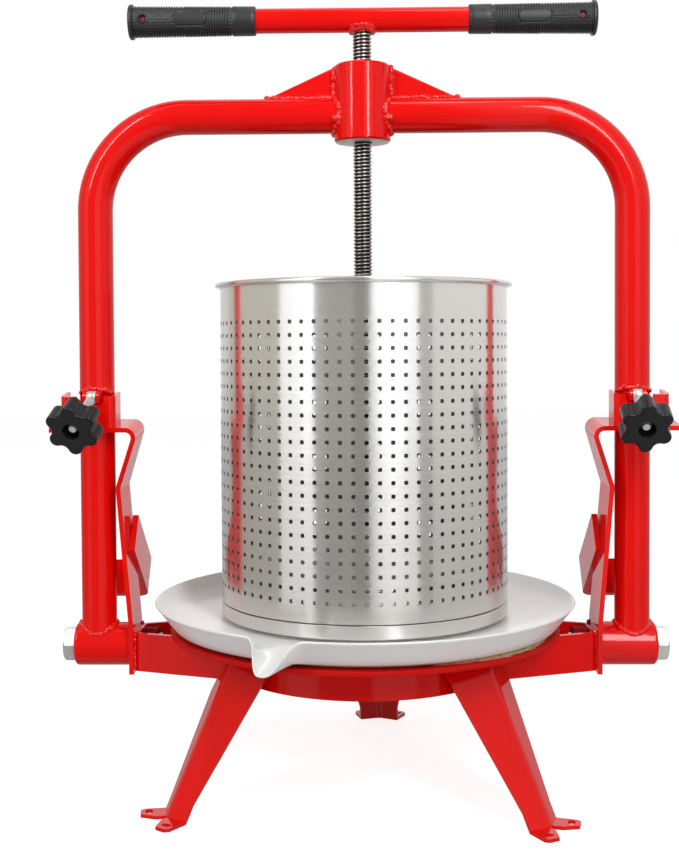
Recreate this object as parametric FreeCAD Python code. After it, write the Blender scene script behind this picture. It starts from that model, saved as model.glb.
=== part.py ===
import FreeCAD, Part
import math
import os

# A hand cranked fruit press: a tripod stand carries a drip tray with a perforated
# steel basket, and a bent tube yoke over the basket holds the pressing screw.
# Millimetres, +Z up. The origin is on the ground, on the axis of the screw.
# +X is to the right of someone who faces the press, and -Y points at them.

Vector = FreeCAD.Vector
UP = Vector(0, 0, 1)
RIGHT = Vector(1, 0, 0)
BACK = Vector(0, 1, 0)

# Driving dimensions

# Clearances
running_gap = 0.1         # radial, where a round part turns in its bore
rest_gap = 0.3            # beside or under a part that only stands against another
saddle_rest_gap = 0.2     # under a swing bolt that lies in its slot

# Legs, folded from plate with the corner pointing outwards
leg_plate = 3.0
leg_fold_angle = 135.0
leg_fold_radius = 12.0
leg_circle_radius = 188.3  # from the screw axis to the fold's sharp corner, on the ground
leg_top_radius = 124.0     # the same corner, under the support disc
leg_azimuth = {"rear": 85.5, "front_left": 211.5, "front_right": 321.0}
leg_foot_width = 20.8      # one face of the fold, at the ground
leg_top_width = 46.4       # the same face, under the support disc
leg_straight_height = 14.0
foot_tab_width = 21.0
foot_tab_length = 19.0
foot_tab_corner = 6.0
foot_tab_thickness = 3.0
foot_slot_length = 9.0
foot_slot_width = 6.0
foot_slot_across = 14.0    # from the fold's corner to the middle of the slot
foot_slot_reach = 12.0     # from the leg's face to the middle of the slot

# Base band, one strip that runs round the middle and out to both brackets
band_bottom_z = 100.3
band_height = 32.6
band_thickness = 4.0
band_ring_radius = 115.5
band_arm_half_depth = 91.0  # of the straight arms, where they would meet at X = 0
band_end_half_depth = 20.0
band_corner_radius = 7.0
band_cross_radius = 1.0    # where the two arms meet, inside the ring

# Support disc, pad and drip tray
disc_margin = 2.0          # the disc beyond the tray's foot
disc_thickness = 4.0
disc_edge_radius = 0.8
pad_margin = 1.5           # the pad beyond the disc
pad_thickness = 2.4
tray_gutter_width = 22.8   # from the basket's wall to the foot of the tray's slope
tray_slope_width = 34.2    # from there to the rim
tray_foot_inset = 15.2     # the tray's foot inside its rim
tray_height = 21.7
tray_rim_width = 2.4
tray_floor_thickness = 10.0
spout_angle = -111.0       # degrees from +X
spout_overhang = 24.8      # beyond the rim
spout_radius = 17.0
spout_wall = 3.0
spout_slope = 7.0

# Basket
basket_radius = 123.2
basket_wall = 1.2
basket_height = 281.5
basket_skirt_height = 11.0
basket_lap = 8.0
basket_rim_overhang = 4.5
basket_rim_roll = 5.6
opening_columns = 24       # round the basket; the real wall has many more and smaller ones
opening_rows = 8
opening_diameter = 11.0
opening_low_margin = 31.0  # from the basket's foot to the middle of the lowest row
opening_top_margin = 43.0  # from the middle of the highest row to the rim

# Yoke tube and its pivots
yoke_tube_diameter = 30.0
yoke_tube_wall = 2.0
yoke_side_gap = 50.8       # from the tray's rim to the middle of the yoke's leg
yoke_rise = 143.6          # from the basket's rim to the middle of the beam
yoke_bend_radius = 80.0
pivot_rise = 19.2          # above the lower edge of the base band
sleeve_diameter = 37.0
sleeve_length = 49.0
sleeve_end_radius = 3.0    # rounded outer edge
pivot_bolt_diameter = 18.0
pivot_bolt_flats = 27.0
pivot_head_height = 9.5
pivot_head_turn = 35.0     # degrees, the corners of the hexagons from the top
pivot_nut_height = 14.0
pivot_thread_end = 3.0

# Hub that the screw is threaded through, and the webs beside it
hub_diameter = 48.5
hub_drop = 22.8            # below the middle of the beam
hub_rise = 42.9            # above the middle of the beam
hub_chamfer = 1.5
gusset_thickness = 6.0
gusset_reach = 81.0
gusset_top_drop = 4.0      # from the top of the hub to the top of the web

# Brackets, bent from flat bar. An inset is from the middle of the yoke's leg to the outer face.
bar_width = 44.0
bar_thickness = 4.0
bar_front_y = -24.0
bar_bend_radius = 5.0
bracket_foot_inset = 29.5
bracket_waist_inset = 19.5
bracket_neck_inset = 35.4
bracket_drop = 21.6        # below the pivot
bracket_foot_rise = 18.5   # from the pivot to the first bend
bracket_waist_rise = 138.1  # from the pivot to the outermost bend
shelf_height = 189.6       # from the pivot to the top of the shelf
shelf_reach = 37.0         # outwards beyond the middle of the yoke's leg
shelf_rise = 5.0           # the shelf is higher along its back edge
tube_notch_gap = 0.6

# Saddles on the shelves, which the yoke's legs lean into
saddle_plate = 3.0
saddle_inset = 19.2        # inner face, from the middle of the yoke's leg
saddle_reach = 27.3        # outer face, from the middle of the yoke's leg
saddle_front_y = -23.0
saddle_back_y = 4.0
saddle_height = 26.4       # above the shelf, along the front
saddle_rise = 3.5
saddle_bend_radius = 2.5
saddle_slot_width = 23.0
saddle_slot_shift = 1.8    # outwards from the middle of the yoke's leg
saddle_slot_corner = 4.0

# Swing bolts with star knobs
lock_pin_y = -21.0
lock_pin_rise = 25.9       # above the shelf
lock_pin_diameter = 6.0
lock_pin_proud = 1.0
lock_lug_thickness = 3.0
lock_lug_radius = 5.4
lock_side_gap = 0.2
swing_eye_diameter = 11.0
swing_eye_width = 8.0
swing_bolt_diameter = 8.0
swing_bolt_length = 52.0
swing_droop = 28.0         # degrees below level, resting in the saddle's slot
lock_turn = {"left": -9.0, "right": -2.5}
knob_start = 36.0          # from the pin to the back of the knob
knob_height = 20.0
knob_lobes = 6
knob_lobe_circle = 16.5
knob_lobe_radius = 6.0
knob_valley_radius = 6.0
knob_edge_radius = 2.0
knob_recess_diameter = 14.6
knob_recess_depth = 8.0

# Back stops, which catch the yoke's legs when the yoke is laid back
stop_thickness = 5.0
stop_width = 35.0
stop_length = 90.0
stop_slope = 36.5
stop_near_y = 3.0
stop_near_rise = 96.3      # above the pivot
stop_inset = 27.5          # of the flat part's outer face, from the middle of the yoke's leg
stop_reach = 19.0          # of the turned end beyond the middle of the yoke's leg
stop_bend_radius = 4.0

# Screw, handle and press plate
screw_diameter = 16.0
handle_rise = 38.7         # above the hub
handle_bar_diameter = 21.0
handle_bar_wall = 2.0
handle_half_length = 199.5
grip_length = 108.5
grip_inner_diameter = 24.2
grip_outer_diameter = 26.6
grip_flange_diameter = 29.6
grip_flange_width = 3.0
grip_cap_thickness = 3.0
grip_hole_diameter = 6.0
grip_hole_inset = 12.5
plate_side_gap = 3.0       # between the plate and the basket's wall
plate_thickness = 6.0
plate_rise = 33.1          # above the basket's foot, as pictured
plate_edge_radius = 2.0
collar_diameter = 40.0
collar_height = 30.0
collar_floor = 4.0
collar_chamfer = 2.0
groove_depth = 2.0
groove_width = 6.0
groove_rise = 13.0         # above the plate
collar_pin_diameter = 5.0
collar_pin_gap = 0.3


# Shared shapes

def cylinder(radius, start, end):
    """A round bar from one point to another."""
    axis = end.sub(start)
    return Part.makeCylinder(radius, axis.Length, start, axis)


def block(low, high):
    """A rectangular block between two opposite corners."""
    size = high.sub(low)
    return Part.makeBox(size.x, size.y, size.z, low)


def mirrored(shape):
    """The same piece for the left-hand side."""
    return shape.mirror(Vector(0, 0, 0), RIGHT)


def turned(shape, center, axis, degrees):
    copy = shape.copy()
    copy.rotate(center, axis, degrees)
    return copy


def side_normal(start, end):
    """Unit vector to the left of a run in the XZ plane."""
    run = end.sub(start).normalize()
    return Vector(-run.z, 0, run.x)


def offset_path(path, distance):
    """The points of a path in the XZ plane, moved sideways with mitred corners."""
    moved = []
    for index, point in enumerate(path):
        normals = []
        if index > 0:
            normals.append(side_normal(path[index - 1], point))
        if index < len(path) - 1:
            normals.append(side_normal(point, path[index + 1]))
        total = normals[0].add(normals[-1])
        scale = distance / (1 + normals[0].dot(normals[-1]))
        moved.append(point.add(total.multiply(scale)))
    return moved


def rounded_edges(path, radii):
    """Straight runs through the points, with an arc of the given radius at each corner."""
    edges = []
    here = path[0]
    for index in range(1, len(path) - 1):
        corner = path[index]
        towards_last = path[index - 1].sub(corner).normalize()
        towards_next = path[index + 1].sub(corner).normalize()
        half_angle = towards_last.getAngle(towards_next) / 2
        radius = radii[index]
        setback = radius / math.tan(half_angle)
        bisector = towards_last.add(towards_next).normalize()
        arc_start = corner.add(Vector(towards_last).multiply(setback))
        arc_end = corner.add(Vector(towards_next).multiply(setback))
        arc_middle = corner.add(bisector.multiply(radius / math.sin(half_angle) - radius))
        edges.append(Part.makeLine(here, arc_start))
        edges.append(Part.Arc(arc_start, arc_middle, arc_end).toShape())
        here = arc_end
    edges.append(Part.makeLine(here, path[-1]))
    return edges


def bend_radii(path, inside_radius, thickness, side):
    """Radius at each point of one face of a bent strip: larger on the outside of a bend."""
    radii = [0.0] * len(path)
    for index in range(1, len(path) - 1):
        before = side_normal(path[index - 1], path[index])
        after = path[index + 1].sub(path[index])
        outside = before.dot(after) * side < 0
        radii[index] = inside_radius + (thickness if outside else 0.0)
    return radii


def strip_outline(path, thickness, inside_radius):
    """The closed edge of a bent flat strip, from its middle line in the XZ plane."""
    left = offset_path(path, thickness / 2)
    right = offset_path(path, -thickness / 2)
    edges = rounded_edges(left, bend_radii(path, inside_radius, thickness, 1))
    edges.append(Part.makeLine(left[-1], right[-1]))
    right.reverse()
    right_radii = bend_radii(path, inside_radius, thickness, -1)
    right_radii.reverse()
    edges += rounded_edges(right, right_radii)
    edges.append(Part.makeLine(right[-1], left[0]))
    return Part.Wire(edges)


def hexagon_prism(flats, start, end):
    """A six-sided bar along X, turned as the pictured bolt heads are."""
    corner_radius = flats / 2 / math.cos(math.radians(30))
    corners = []
    for index in range(7):
        angle = math.radians(60 * index + pivot_head_turn)
        corners.append(Vector(start, corner_radius * math.sin(angle),
                              pivot_z + corner_radius * math.cos(angle)))
    face = Part.Face(Part.makePolygon(corners))
    return face.extrude(Vector(end - start, 0, 0))


# Stand

disc_bottom_z = band_bottom_z + band_height
pad_bottom_z = disc_bottom_z + disc_thickness
tray_bottom_z = pad_bottom_z + pad_thickness + rest_gap
tray_floor_radius = basket_radius + tray_gutter_width
tray_rim_radius = tray_floor_radius + tray_slope_width
tray_foot_radius = tray_rim_radius - tray_foot_inset
disc_radius = tray_foot_radius + disc_margin
pad_radius = disc_radius + pad_margin
spout_reach = tray_rim_radius + spout_overhang
yoke_half_span = tray_rim_radius + yoke_side_gap
pivot_z = band_bottom_z + pivot_rise
bracket_foot_x = yoke_half_span - bracket_foot_inset
shelf_end_x = yoke_half_span + shelf_reach
shelf_top_z = pivot_z + shelf_height


def band_plan(inset):
    """Filled plan of the base band, moved inwards by the inset."""
    ring = Part.Face(Part.Wire(Part.makeCircle(band_ring_radius - inset)))
    end_x = bracket_foot_x - bar_thickness
    arm_run = Vector(end_x, band_end_half_depth - band_arm_half_depth, 0)
    arm_shift = inset * arm_run.Length / end_x
    slope = arm_run.y / arm_run.x
    tip_x = end_x - inset
    tip_y = band_arm_half_depth + slope * tip_x - arm_shift
    middle_y = band_arm_half_depth - arm_shift
    corners = [(0, middle_y), (tip_x, tip_y), (tip_x, -tip_y),
               (0, -middle_y), (-tip_x, -tip_y), (-tip_x, tip_y), (0, middle_y)]
    points = [Vector(x, 0, y) for x, y in corners]
    radius = band_corner_radius - inset
    edges = rounded_edges(points, [0, radius, radius, band_cross_radius, radius, radius, 0])
    arms = Part.Face(Part.Wire(edges))
    arms.rotate(Vector(0, 0, 0), RIGHT, 90)
    return ring.fuse(arms).removeSplitter()


def band_block(inset):
    """The band's plan as a solid of the band's height."""
    solid = band_plan(inset).extrude(Vector(0, 0, band_height))
    solid.translate(Vector(0, 0, band_bottom_z))
    return solid


def make_base_band():
    band = band_block(0).cut(band_block(band_thickness))
    bore = cylinder(pivot_bolt_diameter / 2 + running_gap,
                    Vector(-shelf_end_x, 0, pivot_z), Vector(shelf_end_x, 0, pivot_z))
    return band.cut(bore)


def leg_width_at(height):
    """Width of one face of the fold, which is even near the ground and then grows."""
    top = disc_bottom_z - leg_straight_height
    share = max(0.0, height - leg_straight_height) / top
    return leg_foot_width + (leg_top_width - leg_foot_width) * share


def leg_section(height):
    """Level section of a folded leg: X is outwards and Y is sideways."""
    half_fold = math.radians(leg_fold_angle / 2)
    lean = (leg_circle_radius - leg_top_radius) / disc_bottom_z
    corner_x = leg_circle_radius - lean * height
    width = leg_width_at(height)
    faces = []
    for inset in (0.0, leg_plate):
        radius = leg_fold_radius - inset
        apex_x = corner_x - inset / math.sin(half_fold)
        setback = radius / math.tan(half_fold)
        middle = Vector(apex_x - radius / math.sin(half_fold) + radius, 0, height)
        tangents = []
        ends = []
        for side in (1, -1):
            along = Vector(-math.cos(half_fold), side * math.sin(half_fold), 0)
            outwards = Vector(math.sin(half_fold), side * math.cos(half_fold), 0)
            tangents.append(Vector(apex_x, 0, height).add(Vector(along).multiply(setback)))
            end = Vector(corner_x, 0, height).add(Vector(along).multiply(width))
            ends.append(end.sub(outwards.multiply(inset)))
        faces.append((ends, tangents, middle))
    (outer_ends, outer_tangents, outer_middle) = faces[0]
    (inner_ends, inner_tangents, inner_middle) = faces[1]
    edges = [
        Part.makeLine(outer_ends[0], outer_tangents[0]),
        Part.Arc(outer_tangents[0], outer_middle, outer_tangents[1]).toShape(),
        Part.makeLine(outer_tangents[1], outer_ends[1]),
        Part.makeLine(outer_ends[1], inner_ends[1]),
        Part.makeLine(inner_ends[1], inner_tangents[1]),
        Part.Arc(inner_tangents[1], inner_middle, inner_tangents[0]).toShape(),
        Part.makeLine(inner_tangents[0], inner_ends[0]),
        Part.makeLine(inner_ends[0], outer_ends[0]),
    ]
    return Part.Wire(edges)


def foot_tab(side):
    """Level tab that is bent outwards from the foot of one face, with a screw slot."""
    half_fold = math.radians(leg_fold_angle / 2)
    along = Vector(-math.cos(half_fold), side * math.sin(half_fold), 0)
    outwards = Vector(math.sin(half_fold), side * math.cos(half_fold), 0)

    def place(across, out):
        corner = Vector(leg_circle_radius, 0, 0)
        return corner.add(Vector(along).multiply(across)).add(Vector(outwards).multiply(out))

    low = leg_foot_width - foot_tab_width + leg_plate
    high = leg_foot_width
    corner = foot_tab_corner
    corners = [place(low, -leg_plate), place(low, foot_tab_length - 2 * corner),
               place(low + corner, foot_tab_length), place(high - corner / 2, foot_tab_length),
               place(high, foot_tab_length - corner / 2), place(high, -leg_plate),
               place(low, -leg_plate)]
    tab = Part.Face(Part.makePolygon(corners)).extrude(Vector(0, 0, foot_tab_thickness))
    half_travel = (foot_slot_length - foot_slot_width) / 2
    slot_start = place(foot_slot_across - half_travel, foot_slot_reach)
    slot_end = place(foot_slot_across + half_travel, foot_slot_reach)
    for end in (slot_start, slot_end):
        hole = cylinder(foot_slot_width / 2, end, end.add(Vector(0, 0, foot_tab_thickness)))
        tab = tab.cut(hole)
    sideways = Vector(outwards).multiply(foot_slot_width / 2)
    slot_corners = [slot_start.sub(sideways), slot_end.sub(sideways),
                    slot_end.add(sideways), slot_start.add(sideways), slot_start.sub(sideways)]
    slot = Part.Face(Part.makePolygon(slot_corners)).extrude(Vector(0, 0, foot_tab_thickness))
    return tab.cut(slot)


def make_leg(azimuth):
    heights = (0.0, leg_straight_height, disc_bottom_z)
    leg = Part.makeLoft([leg_section(height) for height in heights], True, True)
    for side in (1, -1):
        leg = leg.fuse(foot_tab(side))
    leg = leg.removeSplitter()
    leg = turned(leg, Vector(0, 0, 0), UP, azimuth)
    inside = band_plan(band_thickness).extrude(Vector(0, 0, band_bottom_z))
    return leg.cut(band_block(0)).cut(inside)


def make_support_disc():
    disc = cylinder(disc_radius, Vector(0, 0, disc_bottom_z), Vector(0, 0, pad_bottom_z))
    return disc.makeFillet(disc_edge_radius, disc.Edges)


def make_tray_pad():
    return cylinder(pad_radius, Vector(0, 0, pad_bottom_z),
                    Vector(0, 0, pad_bottom_z + pad_thickness))


# Drip tray

def make_drip_tray():
    rim_z = tray_bottom_z + tray_height
    floor_z = tray_bottom_z + tray_floor_thickness
    rim_inner = tray_rim_radius - tray_rim_width
    half_rim = tray_rim_width / 2
    slope_middle = Vector((rim_inner + tray_floor_radius) / 2, 0,
                          floor_z + (rim_z - floor_z) * 0.3)
    edges = [
        Part.makeLine(Vector(0, 0, tray_bottom_z), Vector(tray_foot_radius, 0, tray_bottom_z)),
        Part.makeLine(Vector(tray_foot_radius, 0, tray_bottom_z),
                      Vector(tray_rim_radius, 0, rim_z - half_rim)),
        Part.Arc(Vector(tray_rim_radius, 0, rim_z - half_rim),
                 Vector(tray_rim_radius - half_rim, 0, rim_z),
                 Vector(rim_inner, 0, rim_z - half_rim)).toShape(),
        Part.Arc(Vector(rim_inner, 0, rim_z - half_rim), slope_middle,
                 Vector(tray_floor_radius, 0, floor_z)).toShape(),
        Part.makeLine(Vector(tray_floor_radius, 0, floor_z), Vector(0, 0, floor_z)),
        Part.makeLine(Vector(0, 0, floor_z), Vector(0, 0, tray_bottom_z)),
    ]
    dish = Part.Face(Part.Wire(edges)).revolve(Vector(0, 0, 0), UP, 360)

    tilt = math.radians(spout_slope)
    outwards = Vector(math.cos(tilt), 0, -math.sin(tilt))
    rim_point = Vector(tray_rim_radius, 0, rim_z - half_rim)
    start = rim_point.sub(Vector(outwards).multiply(tray_rim_radius - tray_floor_radius))
    end = rim_point.add(Vector(outwards).multiply(spout_reach - tray_rim_radius + spout_radius))
    trough = cylinder(spout_radius, start, end)
    channel = cylinder(spout_radius - spout_wall, start, end)
    above = block(Vector(tray_floor_radius, -2 * spout_radius, rim_z - half_rim),
                  Vector(spout_reach + spout_radius, 2 * spout_radius, rim_z + spout_radius))
    tip_x = spout_reach - spout_radius
    tongue = cylinder(spout_radius, Vector(tip_x, 0, 0), Vector(tip_x, 0, rim_z))
    tongue = tongue.fuse(block(Vector(tray_foot_radius, -spout_radius, 0),
                               Vector(tip_x, spout_radius, rim_z)))
    trough = trough.cut(above).common(tongue)
    trough = turned(trough, Vector(0, 0, 0), UP, spout_angle)
    channel = turned(channel, Vector(0, 0, 0), UP, spout_angle)
    return dish.fuse(trough).cut(channel).removeSplitter()


# Basket

basket_bottom_z = tray_bottom_z + tray_floor_thickness + rest_gap
basket_top_z = basket_bottom_z + basket_height
basket_seam_z = basket_bottom_z + basket_skirt_height


def make_basket_shell():
    """Rolled and seamed wall: its foot is drawn in to sit inside the floor pan's skirt."""
    outer = basket_radius
    inner = basket_radius - basket_wall
    foot_z = basket_seam_z - basket_lap
    roll_radius = basket_rim_roll / 2
    roll_center = Vector(outer + basket_rim_overhang - roll_radius, 0, basket_top_z - roll_radius)
    corners = [Vector(outer, 0, basket_seam_z), Vector(outer, 0, roll_center.z),
               Vector(inner, 0, roll_center.z), Vector(inner, 0, basket_seam_z + basket_wall),
               Vector(inner - basket_wall, 0, basket_seam_z),
               Vector(inner - basket_wall, 0, foot_z), Vector(inner, 0, foot_z),
               Vector(inner, 0, basket_seam_z), Vector(outer, 0, basket_seam_z)]
    wall = Part.Face(Part.makePolygon(corners)).revolve(Vector(0, 0, 0), UP, 360)
    roll = Part.makeTorus(roll_center.x, roll_radius, Vector(0, 0, roll_center.z), UP)
    return wall.fuse(roll).removeSplitter().cut(basket_openings())


def basket_openings():
    """Short rods through the wall in level rows, one for each opening."""
    low_z = basket_bottom_z + opening_low_margin
    row_pitch = (basket_top_z - opening_top_margin - low_z) / (opening_rows - 1)
    reach = 3 * basket_wall
    rods = []
    for row in range(opening_rows):
        height = low_z + row * row_pitch
        rod = cylinder(opening_diameter / 2, Vector(basket_radius - reach, 0, height),
                       Vector(basket_radius + reach, 0, height))
        for column in range(opening_columns):
            rods.append(turned(rod, Vector(0, 0, 0), UP, 360 * (column + 0.5) / opening_columns))
    return Part.makeCompound(rods)


def make_basket_floor():
    """Shallow pan whose skirt goes round the foot of the wall."""
    pan = cylinder(basket_radius, Vector(0, 0, basket_bottom_z), Vector(0, 0, basket_seam_z))
    inside = cylinder(basket_radius - basket_wall,
                      Vector(0, 0, basket_bottom_z + basket_wall), Vector(0, 0, basket_seam_z))
    bottom_edges = [edge for edge in pan.Edges
                    if abs(edge.BoundBox.ZMax - basket_bottom_z) < 0.01 and len(edge.Vertexes) == 1]
    pan = pan.makeFillet(basket_wall, bottom_edges)
    return pan.cut(inside)


# Yoke

tube_radius = yoke_tube_diameter / 2
yoke_beam_z = basket_top_z + yoke_rise
hub_bottom_z = yoke_beam_z - hub_drop
hub_top_z = yoke_beam_z + hub_rise
sleeve_inner_x = bracket_foot_x + rest_gap
sleeve_outer_x = sleeve_inner_x + sleeve_length
bolt_head_x = sleeve_outer_x + rest_gap


def yoke_rod(radius):
    """One leg, bend and half beam of the yoke as a solid rod."""
    bend_x = yoke_half_span - yoke_bend_radius
    bend_z = yoke_beam_z - yoke_bend_radius
    leg = cylinder(radius, Vector(yoke_half_span, 0, pivot_z), Vector(yoke_half_span, 0, bend_z))
    beam = cylinder(radius, Vector(0, 0, yoke_beam_z), Vector(bend_x, 0, yoke_beam_z))
    bend = Part.makeTorus(yoke_bend_radius, radius, Vector(0, 0, 0), UP, -180, 180, 90)
    bend.rotate(Vector(0, 0, 0), RIGHT, 90)
    bend.translate(Vector(bend_x, 0, bend_z))
    return leg.fuse(bend).fuse(beam).removeSplitter()


def hub_rod():
    return cylinder(hub_diameter / 2, Vector(0, 0, hub_bottom_z), Vector(0, 0, hub_top_z))


def sleeve_rod(radius):
    return cylinder(radius, Vector(sleeve_inner_x, 0, pivot_z), Vector(sleeve_outer_x, 0, pivot_z))


def make_yoke_arm():
    arm = yoke_rod(tube_radius).cut(yoke_rod(tube_radius - yoke_tube_wall))
    return arm.cut(hub_rod()).cut(sleeve_rod(sleeve_diameter / 2))


def make_pivot_sleeve():
    sleeve = sleeve_rod(sleeve_diameter / 2)
    outer_edges = [edge for edge in sleeve.Edges
                   if len(edge.Vertexes) == 1 and abs(edge.BoundBox.XMin - sleeve_outer_x) < 0.01]
    sleeve = sleeve.makeFillet(sleeve_end_radius, outer_edges)
    return sleeve.cut(sleeve_rod(pivot_bolt_diameter / 2 + running_gap))


def chamfer_cone(flats, start, end):
    """Round bar with bevelled ends that takes the corners off a hexagon."""
    radius = flats / 2 / math.cos(math.radians(30))
    bevel = radius - flats / 2
    rod = cylinder(radius, Vector(start, 0, pivot_z), Vector(end, 0, pivot_z))
    far_edges = [edge for edge in rod.Edges
                 if len(edge.Vertexes) == 1 and abs(edge.BoundBox.XMin - max(start, end)) < 0.01]
    return rod.makeChamfer(bevel, far_edges)


def make_pivot_bolt():
    head_end = bolt_head_x + pivot_head_height
    head = hexagon_prism(pivot_bolt_flats, bolt_head_x, head_end)
    head = head.common(chamfer_cone(pivot_bolt_flats, bolt_head_x, head_end))
    nut_start = bracket_foot_x - bar_thickness - band_thickness - pivot_nut_height
    shank = cylinder(pivot_bolt_diameter / 2, Vector(nut_start - pivot_thread_end, 0, pivot_z),
                     Vector(bolt_head_x, 0, pivot_z))
    return head.fuse(shank).removeSplitter()


def make_pivot_nut():
    nut_end = bracket_foot_x - bar_thickness - band_thickness
    nut_start = nut_end - pivot_nut_height
    nut = hexagon_prism(pivot_bolt_flats, nut_start, nut_end)
    bore = cylinder(pivot_bolt_diameter / 2,
                    Vector(nut_start, 0, pivot_z), Vector(nut_end, 0, pivot_z))
    return nut.cut(bore)


def make_screw_hub():
    hub = hub_rod()
    hub = hub.makeChamfer(hub_chamfer, [edge for edge in hub.Edges if len(edge.Vertexes) == 1])
    bore = cylinder(screw_diameter / 2 + running_gap,
                    Vector(0, 0, hub_bottom_z), Vector(0, 0, hub_top_z))
    return hub.cut(bore)


def make_gusset():
    """Three-cornered web between the beam and the side of the hub."""
    half = gusset_thickness / 2
    top_z = hub_top_z - gusset_top_drop
    corners = [Vector(0, -half, yoke_beam_z), Vector(gusset_reach, -half, yoke_beam_z),
               Vector(gusset_reach, -half, yoke_beam_z + tube_radius),
               Vector(hub_diameter / 2, -half, top_z), Vector(0, -half, top_z),
               Vector(0, -half, yoke_beam_z)]
    web = Part.Face(Part.makePolygon(corners)).extrude(Vector(0, gusset_thickness, 0))
    return web.cut(hub_rod()).cut(yoke_rod(tube_radius))


# Brackets with their shelves, saddles and back stops

saddle_top_z = shelf_top_z + saddle_height
lock_pin_z = shelf_top_z + lock_pin_rise


def bracket_outline(y, rise):
    """Edge view of the bent bar at one side, on the plane at the given Y."""
    half = bar_thickness / 2
    shelf_z = shelf_top_z - half + rise
    middle_x = yoke_half_span - half
    path = [Vector(middle_x - bracket_foot_inset, 0, pivot_z - bracket_drop),
            Vector(middle_x - bracket_foot_inset, 0, pivot_z + bracket_foot_rise),
            Vector(middle_x - bracket_waist_inset, 0, pivot_z + bracket_waist_rise),
            Vector(middle_x - bracket_neck_inset, 0, shelf_z),
            Vector(shelf_end_x, 0, shelf_z)]
    outline = strip_outline(path, bar_thickness, bar_bend_radius)
    outline.translate(Vector(0, y, 0))
    return outline


def bent_bar():
    """The bracket before its shelf is notched."""
    front = bracket_outline(bar_front_y, 0.0)
    back = bracket_outline(bar_front_y + bar_width, shelf_rise)
    return Part.makeLoft([front, back], True, True)


def make_bracket():
    bracket = bent_bar()
    notch_radius = tube_radius + tube_notch_gap
    low_z = shelf_top_z - 2 * bar_thickness
    high_z = shelf_top_z + shelf_rise + bar_thickness
    notch = cylinder(notch_radius, Vector(yoke_half_span, 0, low_z),
                     Vector(yoke_half_span, 0, high_z))
    notch = notch.fuse(block(Vector(yoke_half_span - notch_radius, 0, low_z),
                             Vector(yoke_half_span + notch_radius, bar_width, high_z)))
    bolt_hole = cylinder(pivot_bolt_diameter / 2 + running_gap,
                         Vector(0, 0, pivot_z), Vector(shelf_end_x, 0, pivot_z))
    return bracket.cut(notch).cut(bolt_hole)


def make_saddle():
    """Channel that stands on the shelf, slotted for the swing bolt to lie in."""
    droop = math.radians(swing_droop)
    bolt_drop = (lock_pin_y - saddle_front_y) * math.tan(droop)
    bolt_drop += swing_bolt_diameter / 2 / math.cos(droop)
    slot_bottom_z = lock_pin_z - bolt_drop - saddle_rest_gap
    half = saddle_plate / 2
    inner_x = yoke_half_span - saddle_inset + half
    outer_x = yoke_half_span + saddle_reach - half
    path = [Vector(inner_x, 0, saddle_back_y), Vector(inner_x, 0, saddle_front_y + half),
            Vector(outer_x, 0, saddle_front_y + half), Vector(outer_x, 0, saddle_back_y)]
    plan = strip_outline(path, saddle_plate, saddle_bend_radius)
    plan.rotate(Vector(0, 0, 0), RIGHT, 90)
    plan = plan.mirror(Vector(0, 0, 0), BACK)
    plan.translate(Vector(0, 0, shelf_top_z - plan.BoundBox.ZMin))
    height = saddle_top_z + saddle_rise - shelf_top_z
    channel = Part.Face(plan).extrude(Vector(0, 0, height))
    far = 2 * saddle_rise + saddle_top_z
    roof = [Vector(0, saddle_front_y - 1, saddle_top_z), Vector(0, saddle_front_y - 1, far),
            Vector(0, saddle_back_y + 1, far),
            Vector(0, saddle_back_y + 1, saddle_top_z + saddle_rise),
            Vector(0, saddle_front_y - 1, saddle_top_z)]
    above = Part.Face(Part.makePolygon(roof)).extrude(Vector(shelf_end_x, 0, 0))
    slot_low = yoke_half_span + saddle_slot_shift - saddle_slot_width / 2
    slot_high = slot_low + saddle_slot_width
    slot_path = [Vector(slot_low, 0, far), Vector(slot_low, 0, slot_bottom_z),
                 Vector(slot_high, 0, slot_bottom_z), Vector(slot_high, 0, far)]
    slot_edges = rounded_edges(slot_path, [0, saddle_slot_corner, saddle_slot_corner, 0])
    slot_edges.append(Part.makeLine(slot_path[-1], slot_path[0]))
    slot = Part.Face(Part.Wire(slot_edges)).extrude(Vector(0, 2 * saddle_plate, 0))
    slot.translate(Vector(0, saddle_front_y - saddle_plate / 2, 0))
    return channel.cut(above).cut(slot).cut(bent_bar())


def make_back_stop():
    """Flat bar that slopes down behind the bracket and turns outwards behind the yoke's leg."""
    half = stop_thickness / 2
    flat_x = yoke_half_span - stop_inset - half
    path = [Vector(flat_x, 0, 0), Vector(flat_x, 0, stop_length - half),
            Vector(yoke_half_span + stop_reach, 0, stop_length - half)]
    outline = strip_outline(path, stop_thickness, stop_bend_radius)
    bar = Part.Face(outline).extrude(Vector(0, stop_width, 0))
    bar.translate(Vector(0, -stop_width / 2, 0))
    bar.rotate(Vector(0, 0, 0), RIGHT, -90 - stop_slope)
    bar.translate(Vector(0, stop_near_y, pivot_z + stop_near_rise))
    return bar.cut(make_bracket())


# Swing bolt locks. They are drawn level and straight at the origin of their pin,
# then let down by the droop and turned as the real ones hang.

def place_lock(shape, side, droop):
    sign = 1 if side == "right" else -1
    placed = turned(shape, Vector(0, 0, 0), RIGHT, droop)
    placed.rotate(Vector(0, 0, 0), UP, lock_turn[side])
    placed.translate(Vector(sign * yoke_half_span, lock_pin_y, lock_pin_z))
    return placed


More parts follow.
